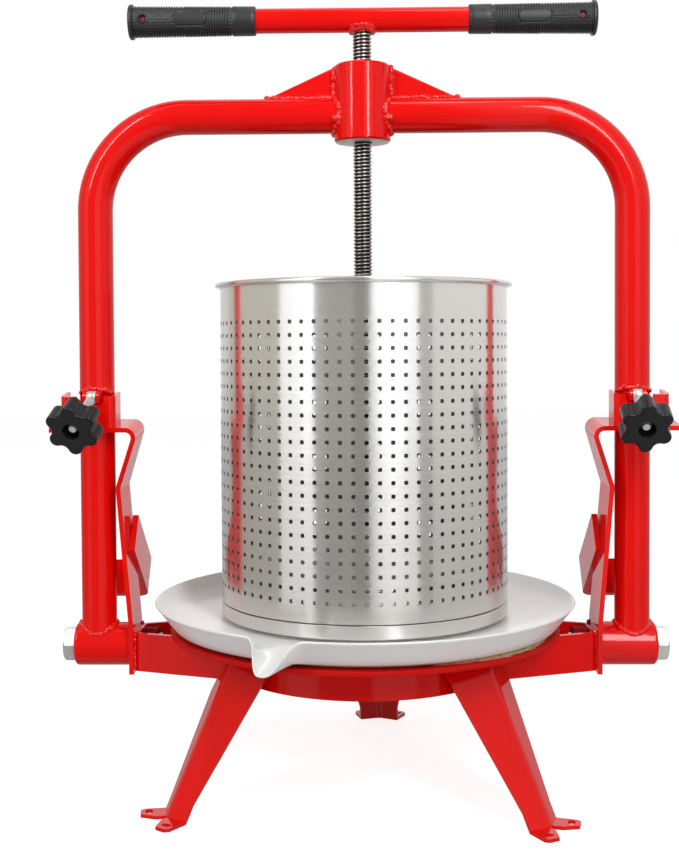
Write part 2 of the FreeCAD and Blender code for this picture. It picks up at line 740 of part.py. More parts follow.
def make_lugs(side):
    """Two lugs that are welded to the front of the yoke's leg."""
    reach = lock_lug_radius - lock_pin_y
    inner = swing_eye_width / 2 + lock_side_gap
    lugs = []
    for low in (inner, -inner - lock_lug_thickness):
        start = Vector(low, 0, 0)
        end = Vector(low + lock_lug_thickness, 0, 0)
        nose = cylinder(lock_lug_radius, start, end)
        tail = block(Vector(low, 0, -lock_lug_radius),
                     Vector(low + lock_lug_thickness, reach, lock_lug_radius))
        hole = cylinder(lock_pin_diameter / 2, start, end)
        lugs.append(nose.fuse(tail).removeSplitter().cut(hole))
    placed = place_lock(Part.makeCompound(lugs), side, 0.0)
    sign = 1 if side == "right" else -1
    leg_x = sign * yoke_half_span
    leg = cylinder(tube_radius, Vector(leg_x, 0, shelf_top_z),
                   Vector(leg_x, 0, saddle_top_z + yoke_tube_diameter))
    behind = block(Vector(leg_x - tube_radius, 0, shelf_top_z),
                   Vector(leg_x + tube_radius, yoke_tube_diameter, saddle_top_z + tube_radius))
    keep = leg.fuse(behind)
    return Part.makeCompound([lug.cut(keep) for lug in placed.Solids])


def make_lock_pin(side):
    half = swing_eye_width / 2 + lock_side_gap + lock_lug_thickness + lock_pin_proud
    pin = cylinder(lock_pin_diameter / 2, Vector(-half, 0, 0), Vector(half, 0, 0))
    return place_lock(pin, side, 0.0)


def make_swing_bolt(side):
    half = swing_eye_width / 2
    eye = cylinder(swing_eye_diameter / 2, Vector(-half, 0, 0), Vector(half, 0, 0))
    shank = cylinder(swing_bolt_diameter / 2, Vector(0, 0, 0), Vector(0, -swing_bolt_length, 0))
    bore = cylinder(lock_pin_diameter / 2 + running_gap, Vector(-half, 0, 0), Vector(half, 0, 0))
    bolt = eye.fuse(shank).removeSplitter().cut(bore)
    tip = [edge for edge in bolt.Edges if abs(edge.BoundBox.YMax + swing_bolt_length) < 0.01]
    bolt = bolt.makeChamfer(1.0, tip)
    return place_lock(bolt, side, swing_droop)


def knob_outline():
    """Star outline of tangent arcs, with the lobes outwards and the valleys between them."""
    step = math.radians(360.0 / knob_lobes)
    reach = knob_lobe_radius + knob_valley_radius
    along = knob_lobe_circle * math.cos(step / 2)
    across = knob_lobe_circle * math.sin(step / 2)
    valley_circle = along + math.sqrt(reach ** 2 - across ** 2)

    def polar(radius, angle):
        return Vector(radius * math.sin(angle), 0, radius * math.cos(angle))

    edges = []
    for index in range(knob_lobes):
        lobe = index * step
        lobe_center = polar(knob_lobe_circle, lobe)
        share = knob_lobe_radius / reach
        joints = []
        for sign in (-1, 1):
            valley_center = polar(valley_circle, lobe + sign * step / 2)
            joints.append(lobe_center.add(valley_center.sub(lobe_center).multiply(share)))
        edges.append(Part.Arc(joints[0], polar(knob_lobe_circle + knob_lobe_radius, lobe),
                              joints[1]).toShape())
        next_center = polar(knob_lobe_circle, lobe + step)
        valley_center = polar(valley_circle, lobe + step / 2)
        next_joint = next_center.add(valley_center.sub(next_center).multiply(share))
        edges.append(Part.Arc(joints[1], polar(valley_circle - knob_valley_radius,
                                               lobe + step / 2), next_joint).toShape())
    return Part.Wire(edges)


def make_knob(side):
    knob = Part.Face(knob_outline()).extrude(Vector(0, -knob_height, 0))
    rims = [edge for edge in knob.Edges if edge.BoundBox.YLength < 0.01]
    knob = knob.makeFillet(knob_edge_radius, rims)
    recess = cylinder(knob_recess_diameter / 2,
                      Vector(0, knob_recess_depth - knob_height, 0), Vector(0, -knob_height, 0))
    bore = cylinder(swing_bolt_diameter / 2 + running_gap,
                    Vector(0, 0, 0), Vector(0, -knob_height, 0))
    knob = knob.cut(recess).cut(bore)
    knob.translate(Vector(0, -knob_start, 0))
    return place_lock(knob, side, swing_droop)


# Screw, handle and press plate

plate_radius = basket_radius - basket_wall - plate_side_gap
plate_bottom_z = basket_bottom_z + plate_rise
plate_top_z = plate_bottom_z + plate_thickness
screw_bottom_z = plate_top_z + collar_floor
groove_z = plate_top_z + groove_rise
handle_z = hub_top_z + handle_rise


def handle_rod(radius, half_length):
    return cylinder(radius, Vector(-half_length, 0, handle_z), Vector(half_length, 0, handle_z))


def make_press_screw():
    screw = cylinder(screw_diameter / 2, Vector(0, 0, screw_bottom_z), Vector(0, 0, handle_z))
    groove = cylinder(screw_diameter / 2, Vector(0, 0, groove_z - groove_width / 2),
                      Vector(0, 0, groove_z + groove_width / 2))
    core = cylinder(screw_diameter / 2 - groove_depth, Vector(0, 0, groove_z - groove_width / 2),
                    Vector(0, 0, groove_z + groove_width / 2))
    bar = handle_rod(handle_bar_diameter / 2, screw_diameter)
    return screw.cut(groove.cut(core)).cut(bar)


def make_handle_bar():
    half = handle_half_length - grip_cap_thickness
    outside = handle_rod(handle_bar_diameter / 2, half)
    return outside.cut(handle_rod(handle_bar_diameter / 2 - handle_bar_wall, half))


def make_grip():
    """Right-hand rubber grip: thicker towards its flanged and closed outer end."""
    start = handle_half_length - grip_length
    end = handle_half_length
    bore_radius = handle_bar_diameter / 2
    corners = [(start, bore_radius), (start, grip_inner_diameter / 2 - 0.8),
               (start + 0.8, grip_inner_diameter / 2),
               (end - grip_flange_width, grip_outer_diameter / 2),
               (end - grip_flange_width, grip_flange_diameter / 2),
               (end - 0.8, grip_flange_diameter / 2),
               (end, grip_flange_diameter / 2 - 0.8), (end, 0),
               (end - grip_cap_thickness, 0), (end - grip_cap_thickness, bore_radius),
               (start, bore_radius)]
    points = [Vector(x, 0, handle_z + r) for x, r in corners]
    axis_point = Vector(0, 0, handle_z)
    grip = Part.Face(Part.makePolygon(points)).revolve(axis_point, RIGHT, 360)
    hole_x = end - grip_hole_inset
    hole = cylinder(grip_hole_diameter / 2, Vector(hole_x, -grip_flange_diameter, handle_z),
                    Vector(hole_x, 0, handle_z))
    hole = hole.cut(handle_rod(bore_radius, end))
    return grip.cut(hole)


def make_press_plate():
    plate = cylinder(plate_radius, Vector(0, 0, plate_bottom_z), Vector(0, 0, plate_top_z))
    rims = [edge for edge in plate.Edges if len(edge.Vertexes) == 1]
    return plate.makeFillet(plate_edge_radius, rims)


def collar_pin_rods():
    """Two cross pins that run in the screw's groove, one each side."""
    pin_x = screw_diameter / 2 - groove_depth + collar_pin_diameter / 2 + collar_pin_gap
    half = collar_diameter / 2 * 0.8
    rods = []
    for sign in (1, -1):
        rods.append(cylinder(collar_pin_diameter / 2, Vector(sign * pin_x, -half, groove_z),
                             Vector(sign * pin_x, half, groove_z)))
    return rods


def make_collar():
    collar = cylinder(collar_diameter / 2, Vector(0, 0, plate_top_z),
                      Vector(0, 0, plate_top_z + collar_height))
    top = [edge for edge in collar.Edges
           if len(edge.Vertexes) == 1 and edge.BoundBox.ZMin > plate_top_z + collar_height / 2]
    collar = collar.makeChamfer(collar_chamfer, top)
    bore = cylinder(screw_diameter / 2 + running_gap, Vector(0, 0, screw_bottom_z - rest_gap),
                    Vector(0, 0, plate_top_z + collar_height))
    collar = collar.cut(bore)
    for rod in collar_pin_rods():
        collar = collar.cut(rod)
    return collar


# Every piece, by the name of its node

pieces = {
    "base_band": make_base_band(),
    "support_disc": make_support_disc(),
    "tray_pad": make_tray_pad(),
    "drip_tray": make_drip_tray(),
    "basket_shell": make_basket_shell(),
    "basket_floor": make_basket_floor(),
    "screw_hub": make_screw_hub(),
    "press_screw": make_press_screw(),
    "handle_bar": make_handle_bar(),
    "press_plate": make_press_plate(),
    "plate_collar": make_collar(),
    "collar_pins": Part.makeCompound(collar_pin_rods()),
}

for place_name, azimuth in leg_azimuth.items():
    pieces[place_name + "_leg"] = make_leg(azimuth)

paired = {
    "yoke_arm": make_yoke_arm(),
    "pivot_sleeve": make_pivot_sleeve(),
    "pivot_bolt": make_pivot_bolt(),
    "pivot_nut": make_pivot_nut(),
    "gusset": make_gusset(),
    "bracket": make_bracket(),
    "saddle": make_saddle(),
    "back_stop": make_back_stop(),
    "grip": make_grip(),
}
for pair_name, shape in paired.items():
    pieces["right_" + pair_name] = shape
    pieces["left_" + pair_name] = mirrored(shape)

for lock_side in ("left", "right"):
    pieces[lock_side + "_lock_lugs"] = make_lugs(lock_side)
    pieces[lock_side + "_lock_pin"] = make_lock_pin(lock_side)
    pieces[lock_side + "_swing_bolt"] = make_swing_bolt(lock_side)
    pieces[lock_side + "_knob"] = make_knob(lock_side)

os.makedirs("parts", exist_ok=True)
for name in sorted(pieces):
    pieces[name].exportStep("parts/" + name + ".step")
    print(name, "solids", len(pieces[name].Solids), "valid", pieces[name].isValid(),
          "volume", round(pieces[name].Volume))
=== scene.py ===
import math
import random

import bmesh
import bpy
from mathutils import Matrix, Vector


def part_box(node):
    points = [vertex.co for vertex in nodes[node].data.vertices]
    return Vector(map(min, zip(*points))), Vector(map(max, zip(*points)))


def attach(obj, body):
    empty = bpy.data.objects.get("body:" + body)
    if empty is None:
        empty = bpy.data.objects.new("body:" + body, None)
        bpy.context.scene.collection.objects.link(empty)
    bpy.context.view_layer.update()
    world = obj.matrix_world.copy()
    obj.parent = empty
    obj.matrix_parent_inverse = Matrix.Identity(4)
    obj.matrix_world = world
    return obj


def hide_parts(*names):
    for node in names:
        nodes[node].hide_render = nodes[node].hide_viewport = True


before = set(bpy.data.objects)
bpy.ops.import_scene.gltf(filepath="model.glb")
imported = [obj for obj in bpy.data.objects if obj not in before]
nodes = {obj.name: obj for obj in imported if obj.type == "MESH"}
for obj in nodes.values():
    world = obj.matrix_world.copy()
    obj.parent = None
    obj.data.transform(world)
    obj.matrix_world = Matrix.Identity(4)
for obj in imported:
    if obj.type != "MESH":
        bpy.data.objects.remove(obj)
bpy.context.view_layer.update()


# Welded steel stand: three folded legs, the band between the two sides and the disc on top.
# Mild steel plate, bent and welded, then dipped and stoved in a thick glossy red enamel.
# The enamel flows over edges and welds, and leaves a faint ripple that softens reflections.

def srgb(code):
    channels = [int(code[i:i + 2], 16) / 255 for i in (1, 3, 5)]
    return tuple(c / 12.92 if c <= 0.04045 else ((c + 0.055) / 1.055) ** 2.4 for c in channels) + (1.0,)


def add_node(material, kind, settings=None, **feeds):
    """Adds a node. A feed is a value or another node's output; _0 and _1 mean numbered inputs."""
    tree = material.node_tree
    node = tree.nodes.new(kind)
    for name, value in (settings or {}).items():
        setattr(node, name, value)
    for name, value in feeds.items():
        socket = node.inputs[int(name[1:]) if name[0] == "_" else name.replace("_", " ")]
        if isinstance(value, bpy.types.NodeSocket):
            tree.links.new(value, socket)
        else:
            socket.default_value = value
    return node


def new_material(name, **values):
    material = bpy.data.materials.new(name)
    material.use_nodes = True
    shader = material.node_tree.nodes["Principled BSDF"]
    for socket, value in values.items():
        shader.inputs[socket.replace("_", " ")].default_value = value
    return material, shader


def make_red_enamel(name, gloss, ripple_scale, ripple_strength, ripple_depth):
    """Stoved enamel on steel: an even strong red with a wet gloss, over ripples that bend what it mirrors.
    A noise scale is one over a size in metres, so 330 gives ripples 3 mm across and 620 gives 1.6 mm."""
    material, shader = new_material(name, Roughness=0.09, Specular_IOR_Level=gloss)
    links = material.node_tree.links
    place = add_node(material, "ShaderNodeTexCoord").outputs["Object"]
    cloud = add_node(material, "ShaderNodeTexNoise", Vector=place, Scale=9.0, Detail=3.0)
    color = add_node(material, "ShaderNodeMix", {"data_type": "RGBA"}, Factor=cloud.outputs["Fac"],
                     A=srgb("#DE0C08"), B=srgb("#E8100B"))
    links.new(color.outputs["Result"], shader.inputs["Base Color"])
    ripple = add_node(material, "ShaderNodeTexNoise", Vector=place, Scale=ripple_scale, Detail=1.0)
    bump = add_node(material, "ShaderNodeBump", Height=ripple.outputs["Fac"], Strength=ripple_strength,
                    Distance=ripple_depth)
    links.new(bump.outputs["Normal"], shader.inputs["Normal"])
    return material


def make_painted_shade_coat(name, tint, roughness, gloss=0.5):
    """Enamel of one darker tint, painted shade for what sits in the shade of other pieces, where no ripple
    shows.
    """
    material, shader = new_material(name, Roughness=roughness, Specular_IOR_Level=gloss)
    shader.inputs["Base Color"].default_value = srgb(tint)
    return material


def dress(material, *names):
    """Gives CAD nodes their material."""
    for name in names:
        for slot in nodes[name].material_slots:
            slot.material = material


def pair(name):
    return "left_" + name, "right_" + name


red_enamel = make_red_enamel("stoved_red_enamel", gloss=0.23, ripple_scale=330.0,
                             ripple_strength=0.07, ripple_depth=0.0004)
dress(red_enamel, "base_band", "rear_leg", "front_left_leg", "front_right_leg",
      *pair("bracket"), *pair("saddle"), *pair("back_stop"))

# The disc's coat is matt and painted a darker red, as the shade under the board and the tray.
dress(make_painted_shade_coat("painted_shade_coat_under_tray", "#C20F0B", roughness=0.55, gloss=0.1), "support_disc")


# Weld beads on the stand, laid by hand and painted over with everything else.
# Each is a row of overlapping drops of steel that have run into one another.

weld_enamel = make_red_enamel("stoved_enamel_on_welds", gloss=0.5, ripple_scale=620.0,
                              ripple_strength=0.5, ripple_depth=0.0010)

# These are shares of a bead's width.
lump_radius = 0.66
drop_radius = (0.42, 0.6)
drop_step = 0.55
hand_sway = 0.12
melt_grain = 0.13


def make_piece(name, mesh, material, body, sharp=40.0):
    """A finished bmesh becomes a piece that rides on a body, with creases at its sharp edges."""
    for face in mesh.faces:
        face.smooth = True
    for edge in mesh.edges:
        edge.smooth = not edge.is_manifold or edge.calc_face_angle(0.0) < math.radians(sharp)
    data = bpy.data.meshes.new(name)
    mesh.to_mesh(data)
    mesh.free()
    data.materials.append(material)
    piece = bpy.data.objects.new(name, data)
    bpy.context.scene.collection.objects.link(piece)
    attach(piece, body)
    return piece


def weld_bead(name, runs, size, body, lumps=()):
    """Drops along each run of points, and larger lumps where the welder stopped, melted into one."""
    chance = random.Random(name)
    bead = bmesh.new()
    drops = [(Vector(point), size * lump_radius) for point in lumps]
    for run in runs:
        points = [Vector(point) for point in run]
        for start, end in zip(points, points[1:]):
            count = max(1, round((end - start).length / (size * drop_step)))
            for step in range(count + 1):
                drops.append((start.lerp(end, step / count), size * chance.uniform(*drop_radius)))
    for place, radius in drops:
        sway = Vector([chance.uniform(-hand_sway, hand_sway) * size for axis in range(3)])
        bmesh.ops.create_icosphere(bead, subdivisions=2, radius=radius,
                                   matrix=Matrix.Translation(place + sway))
    piece = make_piece(name, bead, weld_enamel, body, sharp=180.0)
    melt = piece.modifiers.new("melt", "REMESH")
    melt.mode = "VOXEL"
    melt.voxel_size = size * melt_grain
    melt.use_smooth_shade = True
    flow = piece.modifiers.new("flow", "SMOOTH")
    flow.factor = 0.5
    flow.iterations = 1


sides = (("left", -1), ("right", 1))
band_low, band_top = (corner.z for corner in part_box("base_band"))
band_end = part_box("base_band")[1].x
arm_half_depth = 0.0195
for side, sign in sides:
    x = sign * (band_end - 0.0005)
    front, back = -arm_half_depth - 0.001, arm_half_depth + 0.001
    seams = [[(x, y, band_low + 0.003), (x, y, band_top + 0.001)] for y in (front, back)]
    corner = [(x, front, band_top + 0.001), (x - sign * 0.004, -arm_half_depth, band_top + 0.0015)]
    weld_bead(side + "_band_weld", seams + [corner], 0.0032, "stand",
              lumps=[(x - sign * 0.001, -arm_half_depth - 0.0006, band_top + 0.0005)])


# Drip tray pad: a thin ragged sheet of tan fibreboard between the disc and the drip tray.
# Its cut edge is torn and shows its layers where it stands out past the disc on the right.

pad_low, pad_top = (corner.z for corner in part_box("tray_pad"))
pad_bore = 0.02
pad_reach = 0.1540
pad_layers = 5
torn_reach = 0.0106
torn_angle = -42.0
torn_half_angle = 30.0


def lathe(mesh, points, steps, axis=(0, 0, 1)):
    """Spins a line of points a full turn round an axis through the origin."""
    verts = [mesh.verts.new(point) for point in points]
    edges = [mesh.edges.new(ends) for ends in zip(verts, verts[1:])]
    bmesh.ops.spin(mesh, geom=verts + edges, cent=(0, 0, 0), axis=axis, angle=math.tau,
                   steps=steps, use_merge=True)


def make_fibreboard():
    """Pressed wood fibre: tan, matt, and mottled and rough with fibres about 2.4 mm long."""
    material, shader = new_material("torn_fibreboard", Roughness=0.9)
    links = material.node_tree.links
    place = add_node(material, "ShaderNodeTexCoord").outputs["Object"]
    fibre = add_node(material, "ShaderNodeTexNoise", Vector=place, Scale=420.0, Detail=4.0)
    color = add_node(material, "ShaderNodeMix", {"data_type": "RGBA"}, Factor=fibre.outputs["Fac"],
                     A=srgb("#5E4328"), B=srgb("#E6C599"))
    links.new(color.outputs["Result"], shader.inputs["Base Color"])
    bump = add_node(material, "ShaderNodeBump", Height=fibre.outputs["Fac"], Strength=0.6, Distance=0.0006)
    links.new(bump.outputs["Normal"], shader.inputs["Normal"])
    return material


def make_pad():
    pad = bmesh.new()
    outline = [(pad_bore, 0, pad_low), (pad_reach, 0, pad_low)]
    outline += [(pad_reach, 0, pad_low + (pad_top - pad_low) * (layer + 1) / pad_layers)
                for layer in range(pad_layers)]
    outline.append((pad_bore, 0, pad_top))
    lathe(pad, outline, 240)
    chance = random.Random("pad")
    for vert in pad.verts:
        radius = vert.co.xy.length
        if radius > pad_reach / 2:
            angle = math.degrees(math.atan2(vert.co.y, vert.co.x))
            shown = max(0.0, 1 - abs(angle - torn_angle) / torn_half_angle) ** 0.5
            reach = pad_reach + torn_reach * shown + chance.uniform(-0.0010, 0.0012) * shown
            vert.co.xy *= reach / radius
    bmesh.ops.recalc_face_normals(pad, faces=pad.faces)
    piece = make_piece("fibreboard_pad", pad, make_fibreboard(), "stand", sharp=30.0)
    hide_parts("tray_pad")


make_pad()


# Drip tray: one moulding of glossy white plastic with a gutter round the basket's seat.
# Its rim is pulled out and down into a pouring lip at the front left.

tray_bottom = 0.1396
tray_top = 0.1613
wall_foot_radius = 0.1652
wall_slope = 1.33
rim_inner_radius = 0.1775
rim_outer_radius = 0.1794
rim_height = 0.002
gutter_depth = 0.0135
lip_angle = math.radians(-112.2)
lip_half_width = 0.0140
lip_start = 0.148
lip_run = 0.0305
lip_reach = 0.0212
lip_drop = 0.0220


def make_white_moulding():
    """Injection moulded plastic: slightly cloudy white with a soft gloss and swells 70 mm apart."""
    material, shader = new_material("white_moulding", Roughness=0.28, IOR=1.5)
    links = material.node_tree.links
    place = add_node(material, "ShaderNodeTexCoord").outputs["Object"]
    cloud = add_node(material, "ShaderNodeTexNoise", Vector=place, Scale=14.0, Detail=4.0)
    color = add_node(material, "ShaderNodeMix", {"data_type": "RGBA"}, Factor=cloud.outputs["Fac"],
                     A=srgb("#EAEBE9"), B=srgb("#F2F3F1"))
    links.new(color.outputs["Result"], shader.inputs["Base Color"])
    bump = add_node(material, "ShaderNodeBump", Height=cloud.outputs["Fac"], Strength=0.05, Distance=0.002)
    links.new(bump.outputs["Normal"], shader.inputs["Normal"])
    return material


white_moulding = make_white_moulding()


def lip_pull(across):
    """How far the rim is pulled out into the lip: 1 in its round middle, and 0 past its flared sides."""
    return math.exp(-(abs(across) / lip_half_width) ** 3.0)


def refine_near_lip(tray):
    """Cuts each ring of the gutter and the wall into quarter degrees where the lip bends it."""
    near_lip = []
    for edge in tray.edges:
        start, end = (vert.co for vert in edge.verts)
        on_ring = abs(start.z - end.z) < 1e-6 and abs(start.xy.length - end.xy.length) < 1e-6
        middle = (start + end) / 2
        away = math.remainder(math.atan2(middle.y, middle.x) - lip_angle, math.tau)
        if on_ring and middle.xy.length > 0.13 and abs(away) < math.radians(12):
            near_lip.append(edge)
    bmesh.ops.subdivide_edges(tray, edges=near_lip, cuts=3)


def pull_lip(tray):
    """Draws the gutter, the rim and the outer wall out and down together, so the wall stays whole."""
    for vert in tray.verts:
        radius, height = vert.co.xy.length, vert.co.z
        turn = math.atan2(vert.co.y, vert.co.x) - lip_angle
        along, across = radius * math.cos(turn), radius * math.sin(turn)
        if along < 0 or radius < lip_start:
            continue
        pull = lip_pull(across)
        wall_height = tray_bottom + (radius - wall_foot_radius) * wall_slope + 0.002
        if radius < rim_outer_radius and height < wall_height:
            # The outer wall is folded nearly flat under the lip.
            share = min(1.0, (height - tray_bottom) / (tray_top - rim_height - tray_bottom))
            level = tray_bottom - 0.0004 - 0.0026 * share
        else:
            share = min(1.0, (radius - lip_start) / lip_run)
            level = tray_top - gutter_depth - (lip_drop + rim_height - gutter_depth) * share
            level += max(0.0, height - tray_top + rim_height) if radius > rim_inner_radius else 0.0
        along += lip_reach * share * pull
        vert.co.x = along * math.cos(lip_angle) - across * math.sin(lip_angle)
        vert.co.y = along * math.sin(lip_angle) + across * math.cos(lip_angle)
        vert.co.z += (level - height) * pull


def make_tray():
    tray = bmesh.new()
    outline = [(0.0, tray_bottom), (0.160, tray_bottom), (0.1635, tray_bottom + 0.0004),
               (wall_foot_radius, tray_bottom + 0.002), (0.1680, tray_bottom + 0.0054),
               (0.1710, tray_bottom + 0.0091), (0.1745, tray_bottom + 0.0136),
               (0.1778, tray_bottom + 0.0179), (0.1795, tray_top - 0.0020), (0.1800, tray_top - 0.0010),
               (0.1797, tray_top - 0.0003), (0.1790, tray_top), (0.1783, tray_top - 0.0003),
               (0.1776, tray_top - 0.0012), (0.1762, tray_top - 0.0030), (0.1745, tray_top - 0.0050),
               (0.1725, tray_top - 0.0070), (0.1700, tray_top - 0.0088), (0.1670, tray_top - 0.0104),
               (0.1630, tray_top - 0.0118), (0.1570, tray_top - 0.0128), (0.1500, tray_top - 0.0133),
               (0.1400, tray_top - 0.0138), (0.1300, tray_top - 0.0144), (0.1220, tray_top - 0.0148),
               (0.1125, tray_top - 0.0147), (0.1112, tray_top - 0.0134), (0.1105, tray_top - 0.0117),
               (0.0, tray_top - 0.0117)]
    lathe(tray, [(radius, 0, height) for radius, height in outline], 360)
    bmesh.ops.remove_doubles(tray, verts=tray.verts, dist=1e-6)
    refine_near_lip(tray)
    bmesh.ops.recalc_face_normals(tray, faces=tray.faces)
    pull_lip(tray)
    piece = make_piece("drip_tray_moulding", tray, white_moulding, "tray", sharp=50.0)
    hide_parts("drip_tray")


make_tray()


# Basket: thin stainless sheet, punched in rows, rolled, with a beaded rim and a pressed floor pan.
# The sheet was brushed lengthways before rolling, so fine scratches run round the basket.

basket_radius = 0.1232
sheet_thickness = 0.0012
hole_columns = 75
hole_rows = 22
hole_radius = 0.0019
top_hole_z = 0.3969
low_hole_z = 0.1779
seam_z = 0.1620
lap_share = 0.991
lap_drop = 0.0004
bead_radius = 0.0023
bead_ring_radius = 0.1254
bead_z = 0.4314 - bead_radius
first_column = math.radians(0.94)


def make_brushed_stainless():
    """Brushed stainless: level scratches, 1 mm high and 70 mm long, draw reflections into upright bands.
    Shallow dents 5 mm across blur them, and the steel is painted darker towards the basket's foot, as shade."""
    material, shader = new_material("brushed_stainless", Metallic=0.9, Roughness=0.2,
                                    Anisotropic=0.85, Anisotropic_Rotation=0.25)
    links = material.node_tree.links
    place = add_node(material, "ShaderNodeTexCoord").outputs["Object"]
    stretch = add_node(material, "ShaderNodeMapping", Vector=place, Scale=(14.0, 14.0, 900.0))
    grain = add_node(material, "ShaderNodeTexNoise", Vector=stretch.outputs["Vector"], Scale=1.0, Detail=3.0)
    color = add_node(material, "ShaderNodeMix", {"data_type": "RGBA"}, Factor=grain.outputs["Fac"],
                     A=srgb("#E3E2DF"), B=srgb("#F3F2F0"))
    apart = add_node(material, "ShaderNodeSeparateXYZ", Vector=place)
    # The lower part of the wall is painted darker, as shade towards the foot.
    toward_foot = add_node(material, "ShaderNodeMapRange", Value=apart.outputs["Z"], From_Min=0.15, From_Max=0.33,
                    To_Min=1.0, To_Max=0.0)
    painted_shade_low = add_node(material, "ShaderNodeMix", {"data_type": "RGBA"}, Factor=toward_foot.outputs["Result"],
                       A=color.outputs["Result"], B=srgb("#D6D4D0"))
    links.new(painted_shade_low.outputs["Result"], shader.inputs["Base Color"])
    rough = add_node(material, "ShaderNodeMapRange", Value=grain.outputs["Fac"], From_Min=0.3, From_Max=0.7,
                     To_Min=0.185, To_Max=0.225)
    links.new(rough.outputs["Result"], shader.inputs["Roughness"])
    bump = add_node(material, "ShaderNodeBump", Height=grain.outputs["Fac"], Strength=0.05, Distance=0.0002)
    dents = add_node(material, "ShaderNodeTexNoise", Vector=place, Scale=190.0, Detail=1.0)
    dented = add_node(material, "ShaderNodeBump", Height=dents.outputs["Fac"], Strength=0.05,
                      Distance=0.0006, Normal=bump.outputs["Normal"])
    links.new(dented.outputs["Normal"], shader.inputs["Normal"])
    around = add_node(material, "ShaderNodeTangent", {"direction_type": "RADIAL", "axis": "Z"})
    links.new(around.outputs["Tangent"], shader.inputs["Tangent"])
    return material


brushed_stainless = make_brushed_stainless()


def make_shaded_inside():
    """The inner side of the wall and the edges of its holes: the same steel, painted darker grey as shade,
    and dull.
    """
    material, shader = new_material("painted_shade_stainless_inside", Metallic=0.8, Roughness=0.38)
    links = material.node_tree.links
    place = add_node(material, "ShaderNodeTexCoord").outputs["Object"]
    cloud = add_node(material, "ShaderNodeTexNoise", Vector=place, Scale=22.0, Detail=3.0)
    color = add_node(material, "ShaderNodeMix", {"data_type": "RGBA"}, Factor=cloud.outputs["Fac"],
                     A=srgb("#777571"), B=srgb("#93918C"))
    links.new(color.outputs["Result"], shader.inputs["Base Color"])
    return material


painted_shade_inside = make_shaded_inside()


def punch_sheet():
    """A flat sheet as wide as the basket's girth, with one round hole in each cell of a grid."""
    wall = bmesh.new()
    bmesh.ops.create_grid(wall, x_segments=hole_columns, y_segments=hole_rows, size=0.5)
    row_pitch = (top_hole_z - low_hole_z) / (hole_rows - 1)
    bmesh.ops.scale(wall, vec=(math.tau * basket_radius, row_pitch * hole_rows, 1), verts=wall.verts)
    bmesh.ops.subdivide_edges(wall, edges=wall.edges[:], cuts=2, use_grid_fill=False)
    cells = wall.faces[:]
    # Each cell's inset becomes a round hole, whatever the inset's own size.
    bmesh.ops.inset_individual(wall, faces=cells, thickness=0.002, use_even_offset=True)
    for cell in cells:
        middle = cell.calc_center_median()
        for vert in cell.verts:
            vert.co = middle + (vert.co - middle).normalized() * hole_radius
    bmesh.ops.delete(wall, geom=cells, context="FACES")
    return wall


def roll_sheet(wall):
    """Rolls the flat sheet up round the basket's axis and closes its seam."""
    middle_z = (top_hole_z + low_hole_z) / 2
    for vert in wall.verts:
        angle = vert.co.x / basket_radius + first_column
        vert.co = Vector((basket_radius * math.sin(angle), -basket_radius * math.cos(angle),
                          vert.co.y + middle_z))
    bmesh.ops.remove_doubles(wall, verts=wall.verts, dist=1e-6)


def add_plain_edges(wall):
    """Makes the wall longer, up to the bead and down to the seam, where its foot is turned in."""
    top_z = max(vert.co.z for vert in wall.verts)
    low_z = min(vert.co.z for vert in wall.verts)
    for level, end_z in ((top_z, bead_z), (low_z, seam_z)):
        ring = [edge for edge in wall.edges if edge.is_boundary
                and all(abs(vert.co.z - level) < 1e-6 for vert in edge.verts)]
        grown = bmesh.ops.extrude_edge_only(wall, edges=ring)
        moved = [item for item in grown["geom"] if isinstance(item, bmesh.types.BMVert)]
        bmesh.ops.translate(wall, vec=(0, 0, end_z - level), verts=moved)
        if end_z == seam_z:
            foot = [item for item in grown["geom"]
                    if isinstance(item, bmesh.types.BMEdge) and item.is_boundary]
            lap = bmesh.ops.extrude_edge_only(wall, edges=foot)
            turned_in = [item for item in lap["geom"] if isinstance(item, bmesh.types.BMVert)]
            bmesh.ops.scale(wall, vec=(lap_share, lap_share, 1), verts=turned_in)
            bmesh.ops.translate(wall, vec=(0, 0, -lap_drop), verts=turned_in)


def make_basket():
    wall = punch_sheet()
    roll_sheet(wall)
    add_plain_edges(wall)
    bmesh.ops.recalc_face_normals(wall, faces=wall.faces)
    if sum(face.normal.xy.dot(face.calc_center_median().xy) for face in wall.faces) < 0:
        bmesh.ops.reverse_faces(wall, faces=wall.faces)
    bmesh.ops.solidify(wall, geom=wall.faces[:], thickness=sheet_thickness)
    # The inner side and the hole edges get the steel that is painted darker as shade.
    for face in wall.faces:
        if face.calc_center_median().xy.length < basket_radius - sheet_thickness / 4:
            face.material_index = 1
    piece = make_piece("perforated_wall", wall, brushed_stainless, "basket", sharp=45.0)
    piece.data.materials.append(painted_shade_inside)
    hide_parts("basket_shell")


def make_rim_bead():
    bead = bmesh.new()
    place = Matrix.Translation((bead_ring_radius, 0, bead_z)) @ Matrix.Rotation(math.pi / 2, 4, "X")
    bmesh.ops.create_circle(bead, segments=16, radius=bead_radius, matrix=place)
    bmesh.ops.spin(bead, geom=bead.verts[:] + bead.edges[:], cent=(0, 0, 0), axis=(0, 0, 1),
                   angle=math.tau, steps=180, use_merge=True)
    bmesh.ops.recalc_face_normals(bead, faces=bead.faces)
    make_piece("rim_bead", bead, brushed_stainless, "basket")


